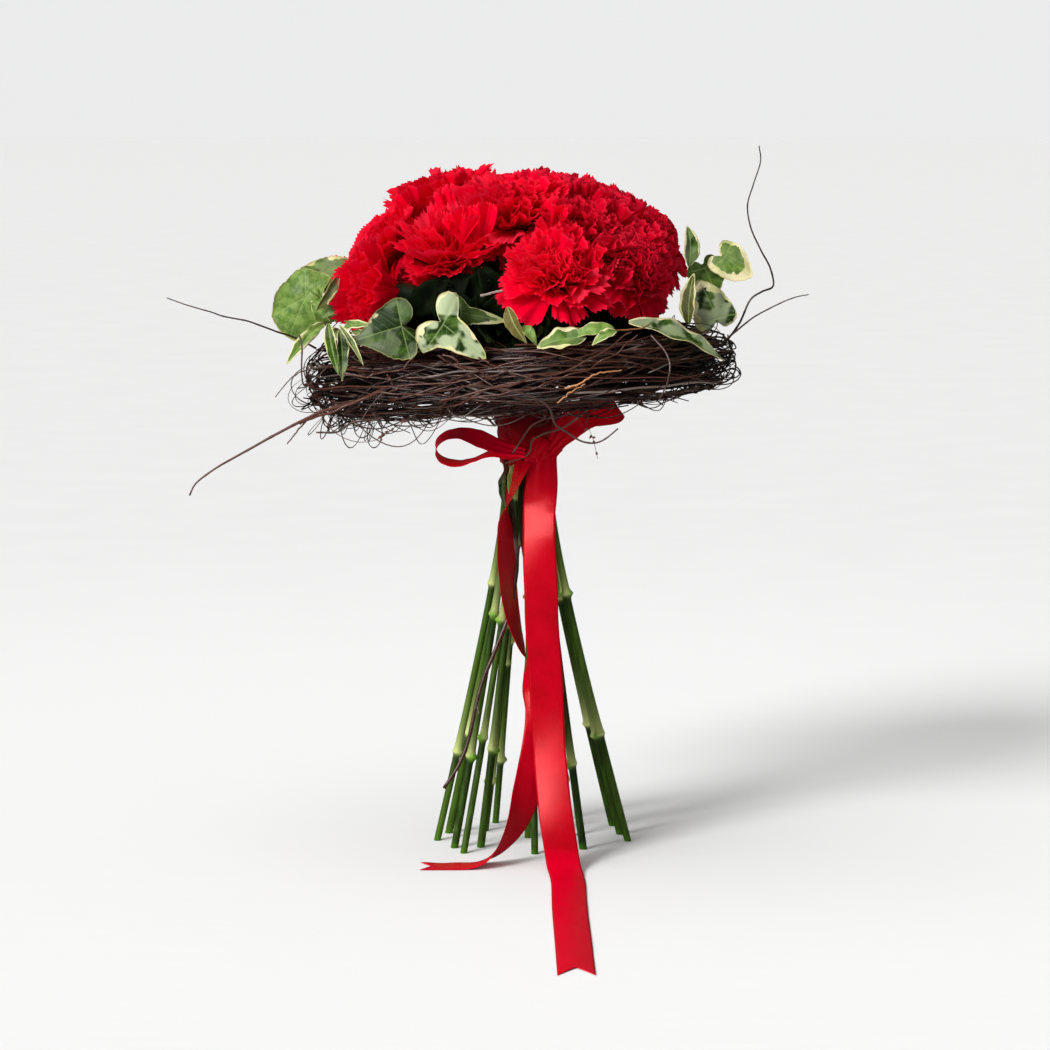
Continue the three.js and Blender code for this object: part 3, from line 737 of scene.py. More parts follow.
BARK_MARKS = ("russet", "peeled", "bleached", "inside")
bark = Finish("twig_bark", 0.36, 0.75)
bark.colour(bark.coats(
    tint(18, 8, 6),
    (bark.ramp(bark.noise(240.0, 4.0, rough=0.6), 0.35, 0.7), tint(54, 32, 26)),
    (bark.attribute("russet"), tint(100, 56, 42)),
    (bark.attribute("peeled"), tint(190, 128, 78)),
    (bark.attribute("bleached"), tint(176, 162, 152)),
    # The inside mark: painted shade deep in the roll, and darker twigs at random.
    (bark.attribute("inside"), tint(10, 4, 3)),
    # Pale grey patches at random: partly weathered bark, partly painted highlight.
    (bark.part(bark.ramp(bark.noise(70.0), 0.55, 0.8), 0.5), tint(136, 116, 104)),
))
bark.relief(bark.noise(1500.0, 3.0), 0.35, 0.0004)

# Kinds of twig in the roll: how many, the degrees of the heart each runs round, its radius in
# mm, its depth in the roll (0 in the middle, 1 at the skin), and how much painted shade darkens it.
TWIG_KINDS = {
    "core": dict(count=140, span=(50, 140), radius=(0.7, 1.2), depth=(0.0, 0.55), depth_shade=0.75, sides=4),
    "inner": dict(count=170, span=(45, 140), radius=(0.5, 1.1), depth=(0.5, 0.85), depth_shade=0.5, sides=4),
    "outer": dict(count=330, span=(40, 130), radius=(0.4, 0.95), depth=(0.84, 1.02), depth_shade=0.0, sides=5),
    "curls": dict(count=190, span=(10, 30), radius=(0.32, 0.6), depth=(0.9, 1.0), depth_shade=0.3, sides=4),
}
BLEACHED_EVERY = 7
CURL_PLACES = [185, 185, 0, 250]  # degrees round the heart, most of them on the left
CURL_TURNS = [-1.6, -1.0, -2.2, 2.6]
LOOSE_SIDE = (150, 215)


def wander(draw, count, size, waves):
    """A smooth, aimless line through 0, of this size, with a few waves."""
    t = np.linspace(0, 1, count)
    out = np.zeros(count)
    for k in range(1, 5):
        out += draw.normal() / k * np.sin(t * waves * k * math.pi + draw.uniform(0, 6))
    return size * out / 1.3


def wound_twig(draw, kind, make):
    """The route of one twig in the roll, and its radius along it."""
    span = draw.uniform(*make["span"])
    start = draw.uniform(0, 360)
    rings = 18 if kind == "curls" else max(14, int(span * 0.34))
    t = np.linspace(0, 1, rings)
    turn = draw.uniform(0, 2 * math.pi) + draw.normal(0, 1.7) * t * span / 90
    turn = turn + wander(draw, rings, 0.14, span / 40)
    depth = draw.uniform(*make["depth"]) + wander(draw, rings, 0.05, span / 30)
    if kind == "curls":
        start = draw.choice(CURL_PLACES) + draw.normal(0, 36)
        turn = draw.choice(CURL_TURNS) + draw.normal(0, 0.5) + draw.uniform(-1.6, 1.6) * t
        loose = 0.95 if LOOSE_SIDE[0] < start < LOOSE_SIDE[1] else 0.5
        depth = depth + draw.uniform(0.1, loose) * np.sin(math.pi * t ** draw.uniform(0.6, 1.4))
    elif kind == "outer" and draw.uniform() < 0.3:
        depth = depth + draw.uniform(0.15, 0.5) * np.clip((t - 0.86) / 0.14, 0, 1) ** 1.5
    radius = draw.uniform(*make["radius"]) * MM * (1 - 0.4 * t)
    return nest_spot(start + span * t, depth * np.cos(turn), depth * np.sin(turn)), radius


for seed, (kind, make) in enumerate(TWIG_KINDS.items()):
    shape = Shape(*BARK_MARKS)
    draw = np.random.default_rng(11 + seed)
    for k in range(make["count"]):
        points, radii = wound_twig(draw, kind, make)
        verts, faces = tube(points, radii, make["sides"])
        shape.add(
            verts, faces, russet=draw.uniform(0, 1) ** 2.2, bleached=0.0 if k % BLEACHED_EVERY else 0.4,
            inside=make["depth_shade"] + draw.uniform(0, 0.85) ** 2,
        )
    nodes = [f"nest_arc_{k}" for k in range(1, 7)] if kind == "outer" else []
    shape.piece(f"nest_{kind}", bark, nodes)


# ---------------------------------------------------------------- tie twigs and loose twigs
# A few twigs run from the wreath in to the binding and carry it. Others have sprung loose
# and stand out in the air: one tall, one long and low, and two thin ones at the sides.
TWIG_KNUCKLE = 0.18


def twig(name, seed, routes, nodes=(), wobble=0.0, **marks):
    """routes holds (points in mm, radius at the start, radius at the tip), all in one piece."""
    shape = Shape(*BARK_MARKS)
    draw = np.random.default_rng(seed)
    for points, thick, thin in routes:
        line = resample(np.array(points, float) * MM, 14 + 5 * len(points))
        count = len(line)
        fade = np.sin(math.pi * np.linspace(0, 1, count)) ** 0.5
        for k in range(3):
            line[:, k] += wander(draw, count, wobble * MM, 4) * fade
        knuckle = 1 + TWIG_KNUCKLE * np.maximum(0, np.sin(np.arange(count) * 1.1)) ** 8
        verts, faces = tube(line, np.linspace(thick, thin, count) * MM * knuckle, 8)
        shape.add(verts, faces, **marks)
    shape.piece(name, bark, nodes)


twig("tie_twigs", 21, [
    ([(13, -94, 324), (12, -62, 315), (14, -38, 309), (4, -25, 304)], 1.2, 0.8),
    ([(-96, 26, 316), (-62, 14, 312), (-34, 4, 310), (-23.5, -4, 303)], 1.2, 0.8),
    ([(84, 40, 328), (54, 28, 318), (31, 13, 313), (22, 10, 305)], 1.2, 0.8),
], ["tie_twig_1", "tie_twig_2", "tie_twig_3"], russet=0.4)
twig("loose_left", 22, [
    ([(-150, -46, 362), (-162, -50, 369), (-177, -54, 374), (-197, -58, 382), (-218, -60, 387),
      (-238, -62, 393), (-254, -64, 399)], 0.8, 0.35),
], ["loose_twig_left"], wobble=0.4, russet=0.1)
twig("loose_low_left", 23, [
    ([(-96, -108, 340), (-118, -122, 331), (-143, -126, 324), (-167, -129, 312), (-193, -131, 298),
      (-213, -133, 287), (-228, -134, 276), (-233, -135, 267)], 1.3, 0.55),
    ([(-150, -126, 321), (-158, -128, 312), (-166, -129, 302)], 0.7, 0.4),
], ["loose_twig_low_left"], wobble=0.3, russet=0.7)
twig("loose_tall", 24, [
    ([(140, -12, 362), (152, -8, 377), (160, -8, 394), (168, -8, 400), (176, -6, 404), (174, -4, 417),
      (167, -2, 430), (161, 0, 444), (158, 0, 461), (162, 2, 477), (167, 4, 493), (166, 5, 504)], 0.8, 0.4),
], ["loose_twig_tall"], wobble=0.3)
twig("loose_right", 25, [
    ([(140, -26, 366), (152, -30, 376), (163, -34, 385), (176, -38, 392), (190, -40, 398),
      (199, -42, 400)], 0.7, 0.35),
], ["loose_twig_right"], wobble=0.3, russet=0.05)

# Twigs that lie on the front of the wreath or hang from it, and one among the stems.
twig("front_twigs", 26, [
    ([(-60, -158, 334), (-19, -162, 345), (22, -158, 354), (49, -150, 367), (71, -140, 380)], 0.75, 0.5),
    ([(-39, -158, 336), (-5, -162, 342), (29, -158, 352), (52, -150, 361), (75, -140, 378)], 0.6, 0.45),
    ([(-157, -128, 316), (-125, -150, 331), (-94, -159, 339), (-67, -162, 341),
      (-30, -160, 346)], 0.85, 0.5),
    ([(-126, -146, 352), (-106, -152, 351), (-86, -156, 357), (-77, -158, 364)], 0.7, 0.4),
    ([(-96, -155, 352), (-93, -157, 348), (-92, -157, 344)], 0.6, 0.3),
    ([(-34, -158, 364), (-20, -160, 357), (-8, -159, 352)], 0.7, 0.5),
    ([(-58, -156, 366), (-44, -160, 359), (-30, -160, 352), (-22, -160, 349)], 0.7, 0.5),
], wobble=1.6, russet=0.55)
twig("hanging_twigs", 27, [
    ([(84, -140, 378), (95, -147, 365), (96, -151, 349), (90, -142, 334)], 0.8, 0.5),
    ([(-40, -156, 345), (-19, -152, 342), (1, -150, 337), (14, -146, 329), (19, -140, 317), (28, -136, 310),
      (38, -134, 304), (50, -132, 304), (62, -132, 313)], 1.0, 0.55),
    ([(-157, -128, 377), (-155, -132, 368), (-154, -128, 342), (-137, -118, 356)], 0.6, 0.5),
    ([(-140, -112, 354), (-152, -112, 352), (-163, -112, 347), (-175, -112, 333)], 0.6, 0.3),
    ([(-100, -128, 320), (-123, -130, 316), (-132, -128, 310), (-146, -128, 310)], 0.9, 0.6),
], wobble=0.3, russet=0.2, bleached=0.06)
twig("tying_twigs", 28, [
    ([(30, -100, 326), (23, -70, 319), (16, -56, 314), (4, -46, 308), (-3, -43, 299),
      (-11, -41, 287)], 0.85, 0.65),
    ([(46, -96, 326), (33, -66, 313), (23, -50, 305), (11, -44, 301), (3, -43, 296), (0, -42, 286),
      (-16, -34, 279)], 0.85, 0.6),
], wobble=0.2, russet=0.5, bleached=0.08)
twig("peeled_twigs", 29, [
    ([(25, -159, 343), (35, -160, 346), (44, -160, 352), (54, -157, 354), (64, -154, 355)], 0.7, 0.4),
    ([(20, -158, 333), (30, -160, 341), (39, -160, 346)], 0.5, 0.35),
], wobble=0.5, russet=0.4, peeled=0.8)
twig("sprig_stems", 32, [
    ([(28, -122, 382), (44, -124, 380.5), (62, -122, 380), (78, -116, 381), (84, -108, 383)], 0.7, 0.5),
    ([(-128, -84, 384), (-118, -98, 383), (-104, -116, 383)], 0.7, 0.5),
], wobble=0.3, russet=0.3, peeled=0.35)
twig("bare_twig", 33, [
    ([(-33, -92, 402), (-24, -90, 404), (-8, -86, 408)], 0.95, 0.8),
], wobble=0.2, bleached=0.75)
twig("stem_twig", 30, [
    ([(-16, -22, 280), (-14, -26, 262), (-10, -28, 238), (-8, -30, 210), (-13, -38, 175), (-24, -44, 144),
      (-34, -48, 116), (-46, -54, 72), (-60, -60, 48)], 2.0, 1.3),
    ([(-34, -48, 116), (-36, -50, 108), (-35, -52, 100)], 0.9, 0.6),
], wobble=0.5, russet=0.25)

# Two strands of small reddish catkins hang below the wreath.
THREAD_RINGS = 40
THREAD_RADIUS = 0.18 * MM
CATKIN_RADII = np.array([0.2, 0.7, 0.9, 0.8, 0.5, 0.1]) * MM
draw = np.random.default_rng(31)
strands = Shape(*BARK_MARKS)
for line, catkins in (
    ([(-76, -112, 322), (-89, -110, 314), (-98, -110, 308), (-105, -110, 303)], 9),
    ([(40, -96, 326), (42, -84, 311), (46, -80, 300), (49, -80, 287)], 8),
):
    thread = resample(np.array(line, float) * MM, THREAD_RINGS)
    verts, faces = tube(thread, np.full(THREAD_RINGS, THREAD_RADIUS), 5)
    strands.add(verts, faces, russet=0.4)
    for _ in range(catkins):
        at = thread[draw.integers(8, THREAD_RINGS)] + draw.normal(0, 0.5, 3) * MM
        way = draw.normal(size=3)
        catkin = at + np.linspace(0, 1, 6)[:, None] * way / np.linalg.norm(way) * draw.uniform(2, 4) * MM
        verts, faces = tube(catkin, CATKIN_RADII, 6)
        strands.add(verts, faces, russet=1.6)
strands.piece("catkins", bark)


# ---------------------------------------------------------------- ivy
# Variegated ivy tucked round the rim of the wreath. The blades are thin and a little waxy,
# green and grey-green in the middle with an uneven cream margin, and their ribs show pale.
LEAF_RINGS = 9
LEAF_SPOKES = 72
LEAF_THICKNESS = 0.35 * MM
RUNG_SPACING = 5.5  # between the side veins, which branch off a rib like a ladder's rungs, in mm
RUNG_SLANT = 0.8

# Outlines of the lobed leaves, as (degrees from the main rib, length as part of the leaf's).
# A third value marks a lobe with a rib of its own.
LEAF_KINDS = {
    "three_lobes": [
        (-170, 0.10), (-152, 0.30), (-138, 0.44), (-122, 0.53), (-104, 0.58), (-86, 0.63, 1),
        (-76, 0.50), (-66, 0.42), (-50, 0.42), (-38, 0.46), (-24, 0.58), (-14, 0.72), (-6, 0.88),
        (0, 1.0, 1), (7, 0.84), (14, 0.66), (25, 0.52), (38, 0.41), (55, 0.31), (72, 0.31), (88, 0.42),
        (98, 0.55), (106, 0.61, 1), (120, 0.60), (134, 0.55), (146, 0.44), (157, 0.24), (168, 0.08),
    ],
    "arrowhead": [
        (-168, 0.08), (-154, 0.26), (-134, 0.40), (-116, 0.48), (-96, 0.52, 1), (-78, 0.50),
        (-58, 0.51), (-38, 0.55), (-22, 0.61), (-9, 0.74), (0, 1.0, 1), (8, 0.80), (20, 0.65),
        (36, 0.60), (66, 0.59), (88, 0.61, 1), (104, 0.57), (112, 0.42), (117, 0.34), (122, 0.46, 1),
        (130, 0.40), (140, 0.30), (152, 0.18), (168, 0.06),
    ],
    "broad": [
        (-165, 0.60), (-150, 0.67, 1), (-129, 0.68), (-102, 0.62), (-80, 0.66), (-57, 0.77),
        (-48, 0.86), (-38, 0.94, 1), (-28, 0.96), (-12, 0.97), (0, 1.02, 1), (13, 1.02), (30, 0.89),
        (48, 0.68), (75, 0.46), (103, 0.38), (125, 0.42), (142, 0.53), (154, 0.70, 1), (168, 0.66),
    ],
    "heart": [
        (-165, 0.16), (-150, 0.40), (-125, 0.56), (-100, 0.62, 1), (-75, 0.66), (-50, 0.72),
        (-25, 0.82), (-10, 0.92), (0, 1.0, 1), (10, 0.92), (25, 0.82), (50, 0.72), (75, 0.66),
        (100, 0.62, 1), (125, 0.56), (150, 0.40), (165, 0.16),
    ],
}

# What the finish of a leaf reads from its mesh.
LEAF_MARKS = ("rim", "rib", "ladder", "grey", "cream", "dark", "young", "brown")


def slab(top, under, closed=False):
    """A thin sheet, its edge closed, from the rows and columns of corners on its two sides."""
    rows, columns = top.shape[:2]
    size = rows * columns
    faces = grid_faces(rows, columns, closed)
    faces = faces + [[i + size for i in f[::-1]] for f in faces]
    if closed:
        edge = [(rows - 1) * columns + k for k in range(columns)]
    else:
        edge = [k * columns for k in range(rows)] + [(rows - 1) * columns + k for k in range(1, columns)]
        edge += [k * columns + columns - 1 for k in range(rows - 2, -1, -1)]
        edge += range(columns - 2, 0, -1)
    for a, b in zip(edge, edge[1:] + edge[:1]):
        faces.append([a, a + size, b + size, b] if closed else [a, b, b + size, a + size])
    return np.vstack([top.reshape(-1, 3), under.reshape(-1, 3)]), faces


def both_sides(values, grid):
    """The same values for the corners of a sheet's two sides, which have this grid."""
    return np.tile(np.broadcast_to(values, grid).ravel(), 2)


def leaf_frame(base, tip, face):
    base = np.array(base, float)
    length = np.array(tip, float) - base
    reach = np.linalg.norm(length)
    ahead = length / reach
    across = np.cross(np.array(face, float), ahead)
    across /= np.linalg.norm(across)
    return base, ahead, across, np.cross(ahead, across), reach


def lobed_leaf(shape, draw, kind, base, tip, face, width=1.0, curl=3.0, **looks):
    """One lobed blade, its corners on spokes from the place where the ribs meet. Sizes in mm."""
    base, ahead, across, normal, reach = leaf_frame(base, tip, face)
    keys = LEAF_KINDS[kind]
    ribs = [key[0] for key in keys if len(key) > 2]
    spokes = np.linspace(-180, 180, LEAF_SPOKES, endpoint=False)
    for rib in ribs:
        spokes[np.argmin(np.abs(spokes - rib))] = rib
    angles = [keys[-1][0] - 360] + [key[0] for key in keys] + [keys[0][0] + 360]
    edge = np.interp(spokes, angles, [keys[-1][1]] + [key[1] for key in keys] + [keys[0][1]])
    soft = (np.roll(edge, 1) + 2 * edge + np.roll(edge, -1)) / 4
    edge = np.where(np.isin(spokes, ribs), edge, soft) * (1 + 0.012 * draw.normal(size=LEAF_SPOKES))
    ring = (np.arange(1, LEAF_RINGS + 1) / LEAF_RINGS)[:, None]
    u = ring * edge * np.cos(np.radians(spokes)) * reach
    v = ring * edge * np.sin(np.radians(spokes)) * reach * width
    away = np.full(u.shape, 1e3)
    ladder = np.zeros(u.shape)
    for rib in ribs:
        turn = np.radians(spokes - rib)
        distance = np.where(np.cos(turn) > 0, np.abs(ring * edge * reach * np.sin(turn)), 1e3)
        along = ring * edge * reach * np.cos(turn)
        nearer = distance < away
        ladder = np.where(nearer, (along - RUNG_SLANT * distance) / RUNG_SPACING, ladder)
        away = np.where(nearer, distance, away)
    phase = draw.uniform(0, 6, 3)
    turn = np.radians(spokes)
    height = curl * (ring ** 3) * (0.5 * np.sin(turn * 2 + phase[0]) + 0.4 * np.sin(turn * 5 + phase[1]))
    height = height - 0.016 * curl * (u / reach - 0.2) ** 2 * reach - 0.5 * curl * ring ** 2
    height = height - 0.5 * np.exp(-((away / 1.2) ** 2))
    top = base + u[..., None] * ahead + v[..., None] * across + height[..., None] * normal
    top = np.concatenate([np.repeat((base - 0.5 * normal)[None, None], LEAF_SPOKES, axis=1), top]) * MM
    verts, faces = slab(top, top - normal * LEAF_THICKNESS, closed=True)
    marks = {"rim": np.broadcast_to(ring, u.shape), "rib": away, "ladder": ladder}
    marks = {name: np.vstack([np.zeros(LEAF_SPOKES), values]) for name, values in marks.items()}
    marks = {name: both_sides(values, values.shape) for name, values in marks.items()}
    shape.add(verts, faces, **{"grey": 0.3, "cream": 0.3, **looks, **marks})


def narrow_leaf(shape, draw, base, tip, face, width, fold=30, droop=3, twist=0, grid=(22, 9), **looks):
    """One undivided blade, folded by fold degrees along its rib and drooping at the tip."""
    base, ahead, across, normal, reach = leaf_frame(base, tip, face)
    rows, columns = grid
    t = np.linspace(0, 1, rows)[:, None]
    u = np.linspace(-1, 1, columns)[None, :]
    half = 0.5 * width * np.sin(math.pi * np.clip(t, 0.012, 0.985) ** 0.8) ** 0.75
    half = half * (1 + 0.05 * np.sin(t * 21 + draw.uniform(0, 6)))
    turn = np.radians(twist) * (t - 0.5)
    rise = np.abs(u) * np.sin(math.radians(fold)) + 0.12 * np.sin(t * 16 + draw.uniform(0, 6)) * u
    flat = u * math.cos(math.radians(fold))
    side = half * (flat * np.cos(turn) - rise * np.sin(turn))
    height = half * (flat * np.sin(turn) + rise * np.cos(turn))
    height = height + droop * (np.sin(math.pi * t) - 0.9 * t ** 3)
    top = base + t[..., None] * reach * ahead + side[..., None] * across + height[..., None] * normal
    top = top * MM
    verts, faces = slab(top, top - normal * LEAF_THICKNESS)
    rib = np.abs(u) * half
    marks = {"rim": np.maximum(np.abs(u), np.clip((t - 0.86) / 0.14, 0, 1)), "rib": rib}
    marks["ladder"] = t * reach / RUNG_SPACING - RUNG_SLANT * rib / RUNG_SPACING
    marks = {name: both_sides(values, grid) for name, values in marks.items()}
    shape.add(verts, faces, **{"grey": 0.2, "cream": 0.3, **looks, **marks})


ivy_skin = Finish("variegated_ivy", 0.42, 0.22)
blotch = ivy_skin.noise(95.0, 3.0)
fleck = ivy_skin.noise(190.0, 4.0, rough=0.6)
to_rim = ivy_skin.attribute("rim")
young = ivy_skin.attribute("young")
silver = ivy_skin.part(ivy_skin.ramp(ivy_skin.noise(70.0, 2.0), 0.42, 0.52), ivy_skin.attribute("grey"))
fresh = ivy_skin.coats(tint(84, 120, 40), (ivy_skin.ramp(fleck, 0.35, 0.65), tint(132, 158, 78)))

# The cream margin is uneven: noise and the leaf's own share of cream push it in and out.
margin = ivy_skin.math("ADD", ivy_skin.part(ivy_skin.attribute("cream"), 0.35), ivy_skin.part(fleck, 0.4))
margin = ivy_skin.math("ADD", margin, ivy_skin.part(ivy_skin.noise(55.0, 2.0), 1.1))
margin = ivy_skin.ramp(ivy_skin.math("ADD", margin, to_rim), 1.74, 1.79)
creams = ivy_skin.coats(tint(212, 202, 160), (ivy_skin.ramp(blotch, 0.4, 0.7), tint(184, 184, 118)))
hem = ivy_skin.part(ivy_skin.ramp(to_rim, 0.95, 1.0), 0.7)

# The ribs and the fainter rungs between them show pale, least on young leaves.
rungs = ivy_skin.math("PINGPONG", ivy_skin.attribute("ladder"), 0.5)
rungs = ivy_skin.part(ivy_skin.ramp(rungs, 0.42, 0.5), 0.22)
veins = ivy_skin.math("SUBTRACT", 1.0, ivy_skin.ramp(ivy_skin.attribute("rib"), 0.15, 0.75), clamp=True)
veins = ivy_skin.math("MAXIMUM", ivy_skin.part(veins, 0.5), rungs)
veins = ivy_skin.part(veins, ivy_skin.math("SUBTRACT", 1.0, ivy_skin.part(young, 0.8)))
ivy_skin.colour(ivy_skin.coats(
    tint(26, 48, 10),
    (ivy_skin.ramp(blotch, 0.4, 0.62), tint(64, 94, 28)),
    (silver, tint(164, 176, 138)),
    (young, fresh),
    (ivy_skin.attribute("brown"), tint(104, 88, 44)),
    (margin, creams),
    (hem, tint(196, 186, 122)),
    (veins, tint(146, 168, 98)),
    (ivy_skin.attribute("dark"), tint(14, 26, 6)),
))
ivy_skin.relief(ivy_skin.math("ADD", ivy_skin.noise(650.0, 2.0), rungs), 0.25, 0.0005)

# The large lobed leaves: kind, where the ribs meet, tip, facing, then their turn of shape.
LOBED = {
    "left_large": (
        "broad", (-158, -34, 398), (-171, -34, 369), (-0.3, -1, 0.1),
        dict(curl=5, grey=0, cream=-0.6, young=0.6),
    ),
    "left_upper": (
        "heart", (-134, -12, 411), (-164, -10, 417), (-0.1, -0.9, 0.4), dict(width=0.78, young=0.3),
    ),
    "front_left": (
        "arrowhead", (-87, -124, 383), (-124, -124, 372), (0, -1, 0.15),
        dict(grey=0.25, cream=-0.3, dark=0.3),
    ),
    "front_middle": (
        "three_lobes", (-58, -136, 385), (-28, -137, 361), (0, -1, 0.1), dict(grey=1, cream=0.35),
    ),
    "right_grey": (
        "heart", (134, -36, 383), (124, -40, 409), (0.2, -1, 0),
        dict(width=0.85, curl=9, grey=0.7, cream=0.6, dark=0.25),
    ),
    "right_round": (
        "heart", (141, -12, 425), (161, -16, 411), (0.2, -0.9, 0.3),
        dict(width=0.9, grey=0.2, cream=0.85, young=0.5),
    ),
    "right_dark": (
        "heart", (127, -8, 417), (136, -8, 398), (0.2, -1, 0.1), dict(grey=0, cream=-1.6, young=0.25),
    ),
}
for index, (name, (kind, base, tip, face, turn)) in enumerate(LOBED.items()):
    shape = Shape(*LEAF_MARKS)
    lobed_leaf(shape, np.random.default_rng(500 + index), kind, base, tip, face, **turn)
    shape.piece(f"ivy_{name}", ivy_skin, [f"ivy_leaf_{name}"])

# The large narrow leaves: where the blade starts, tip, facing, width and turn of shape.
NARROW = {
    "front_low": (
        (40, -130, 376), (6, -131, 370), (0, -0.7, 0.8), 20, dict(fold=12, droop=2, cream=0.8, young=0.4),
    ),
    "front_long": (
        (70, -100, 384), (138, -84, 359), (0, -0.6, 1), 22, dict(fold=20, droop=4, grey=0.6, cream=0.5),
    ),
}
for index, (name, (base, tip, face, width, turn)) in enumerate(NARROW.items()):
    shape = Shape(*LEAF_MARKS)
    narrow_leaf(shape, np.random.default_rng(520 + index), base, tip, face, width, **turn)
    shape.piece(f"ivy_{name}", ivy_skin, [f"ivy_leaf_{name}"])

# Smaller leaves on the same sprigs: where the blade starts, tip, facing, width and turn.
SMALL_LEAVES = [
    ((-132, -84, 416), (-147, -87, 391), (0.3, -1, 0), 10, dict(fold=45, dark=0.2, brown=0.6)),
    ((-138, -110, 384), (-131, -128, 351), (-0.2, -1, 0.3), 10, dict(fold=35, cream=0.1)),
    ((-130, -114, 380), (-127, -132, 347), (0.3, -1, 0.3), 10, dict(fold=35, cream=0.1)),
    ((-130, -116, 383), (-113, -132, 358), (0.2, -1, 0.3), 6, dict(fold=40, cream=1.0)),
    ((-145, -80, 379), (-168, -96, 356), (-0.2, -1, 0.4), 11, dict(fold=30, cream=1.0, young=0.7)),
    ((-142, -84, 382), (-158, -98, 368), (-0.3, -1, 0.2), 9, dict(fold=30, young=0.8)),
    ((-14, -122, 396), (-2, -132, 372), (-0.4, -1, 0), 12, dict(fold=30, cream=-0.2, brown=0.8)),
    ((-4, -126, 383), (6, -134, 372), (0.3, -1, 0.2), 8, dict(fold=20, cream=-0.5, young=0.7)),
    ((59, -126, 382), (29, -130, 377), (0, -0.8, 0.6), 10, dict(fold=15, cream=0.2, young=0.9)),
    ((61, -128, 380), (44, -134, 372), (0, -0.8, 0.6), 8, dict(fold=15, cream=0.8, young=0.9)),
    ((115, -20, 419), (115, -14, 448), (0.4, -1, 0), 14, dict(fold=25, cream=1.0)),
    ((114, -44, 379), (117, -40, 415), (-0.4, -1, 0), 15, dict(fold=38, cream=0.8, brown=0.4)),
    ((-142, -56, 392), (-146, -60, 379), (0.2, -1, 0.3), 9, dict(young=0.8)),
    ((-150, -70, 397), (-139, -76, 392), (0.1, -1, 0.3), 8, dict(young=0.7, cream=-0.8)),
    ((-152, -70, 405), (-144, -76, 399), (0.1, -1, 0.3), 7, dict(young=0.5, cream=-0.8)),
    ((-136, -76, 402), (-144, -80, 396), (0, -1, 0.3), 7, dict(young=0.6, cream=-0.8)),
    ((-134, -78, 392), (-143, -82, 387), (0, -1, 0.3), 8, dict(young=0.3, cream=-0.8)),
    ((-128, -96, 380), (-108, -118, 384), (0, -1, 0.4), 7, dict(fold=20, young=0.6, cream=0.8)),
    ((-122, -104, 378), (-98, -124, 370), (0, -1, 0.4), 7, dict(fold=20, young=0.6, cream=0.8)),
    ((-139, -60, 380), (-152, -66, 396), (-0.2, -1, 0.2), 13, dict(young=0.7)),
    ((-136, -62, 382), (-138, -68, 399), (0, -1, 0.2), 11, dict(young=0.3)),
    ((-132, -80, 378), (-141, -88, 366), (0, -1, 0.3), 10, dict(dark=0.1)),
]
shape = Shape(*LEAF_MARKS)
draw = np.random.default_rng(540)
for base, tip, face, width, turn in SMALL_LEAVES:
    narrow_leaf(shape, draw, base, tip, face, width, **turn)
lobed_leaf(
    shape, draw, "three_lobes", (-46, -119, 392), (-14, -124, 386), (0, -1, 0.1), width=0.6,
    grey=0.0, dark=0.55, brown=0.15,
)
shape.piece("ivy_small", ivy_skin)

# The dark leaves between the blooms and the wreath, which close the bouquet underneath. Their
# near-black green is painted shade. They grow outward from all over its middle, but not low
# down at the front.
SHADED_LEAVES = 190
shade_skin = Finish("shaded_ivy", 0.6, 0.05)
shade_skin.colour(shade_skin.coats(
    tint(3, 7, 2),
    (shade_skin.ramp(shade_skin.noise(80.0, 3.0), 0.4, 0.65), tint(13, 22, 6)),
    (shade_skin.attribute("rim"), tint(10, 20, 5)),
))
shade_skin.relief(shade_skin.noise(500.0, 2.0), 0.2, 0.0005)
shape = Shape(*LEAF_MARKS)
for _ in range(SHADED_LEAVES):
    turn = draw.uniform(0, 2 * math.pi)
    outward = np.array([math.cos(turn), math.sin(turn), 0])
    out = draw.uniform(14, 94)
    base = np.array([out * math.cos(turn) - 5, out * math.sin(turn), draw.uniform(350, 396 - 0.2 * out)])
    away = outward * draw.uniform(0.2, 1.2) + draw.normal(0, 0.45, 3)
    away[2] += 0.3
    away /= np.linalg.norm(away)
    face = outward * 0.7 + draw.normal(0, 0.4, 3) + (0, 0, 0.6)
    if base[0] > -14 and base[1] < -56:
        continue
    narrow_leaf(
        shape, draw, base, base + away * draw.uniform(26, 46), face, draw.uniform(11, 22),
        fold=draw.uniform(5, 35), droop=draw.uniform(0, 6), twist=draw.uniform(-40, 40), grid=(10, 5),
    )

# Behind the cleft and under the front blooms they stand upright: start, tip and width.
for base, tip, width in (
    ((-80, -64, 388), (-56, -74, 414), 22), ((-66, -62, 386), (-42, -74, 416), 24),
    ((-50, -60, 388), (-26, -70, 420), 24), ((-36, -60, 390), (-8, -66, 418), 22),
    ((-30, -64, 380), (-16, -76, 404), 20), ((-56, -68, 378), (-62, -80, 404), 22),
    ((-40, -70, 378), (-46, -80, 402), 20), ((-20, -62, 396), (-34, -70, 424), 18),
    ((-14, -60, 374), (2, -62, 398), 20), ((40, -50, 372), (50, -58, 398), 20),
    ((70, -40, 376), (84, -46, 396), 20),
):
    face = (draw.uniform(-0.3, 0.3), -1, draw.uniform(-0.3, 0.5))
    narrow_leaf(shape, draw, base, tip, face, width, fold=15, droop=4, grid=(12, 7))
shape.piece("ivy_shaded", shade_skin)

# Left on the stems under the binding: two dark leaves and a pale shoot.
shape = Shape(*LEAF_MARKS)
for base, tip, face, width, turn in (
    ((-15, -23, 274), (-17.5, -28, 247), (-0.8, -1, 0), 7, dict(fold=35, cream=-0.4, dark=0.6)),
    ((-9, -27, 278), (-13, -33, 255), (-0.2, -1, 0), 8, dict(fold=35, droop=1, cream=0.2, young=1.0)),
    ((-3, -20, 278), (-3, -31, 208), (-0.2, -1, 0), 9, dict(fold=40, droop=1, cream=-0.6, dark=0.8)),
):
    narrow_leaf(shape, draw, base, tip, face, width, **turn)
shape.piece("stem_leaves", ivy_skin)


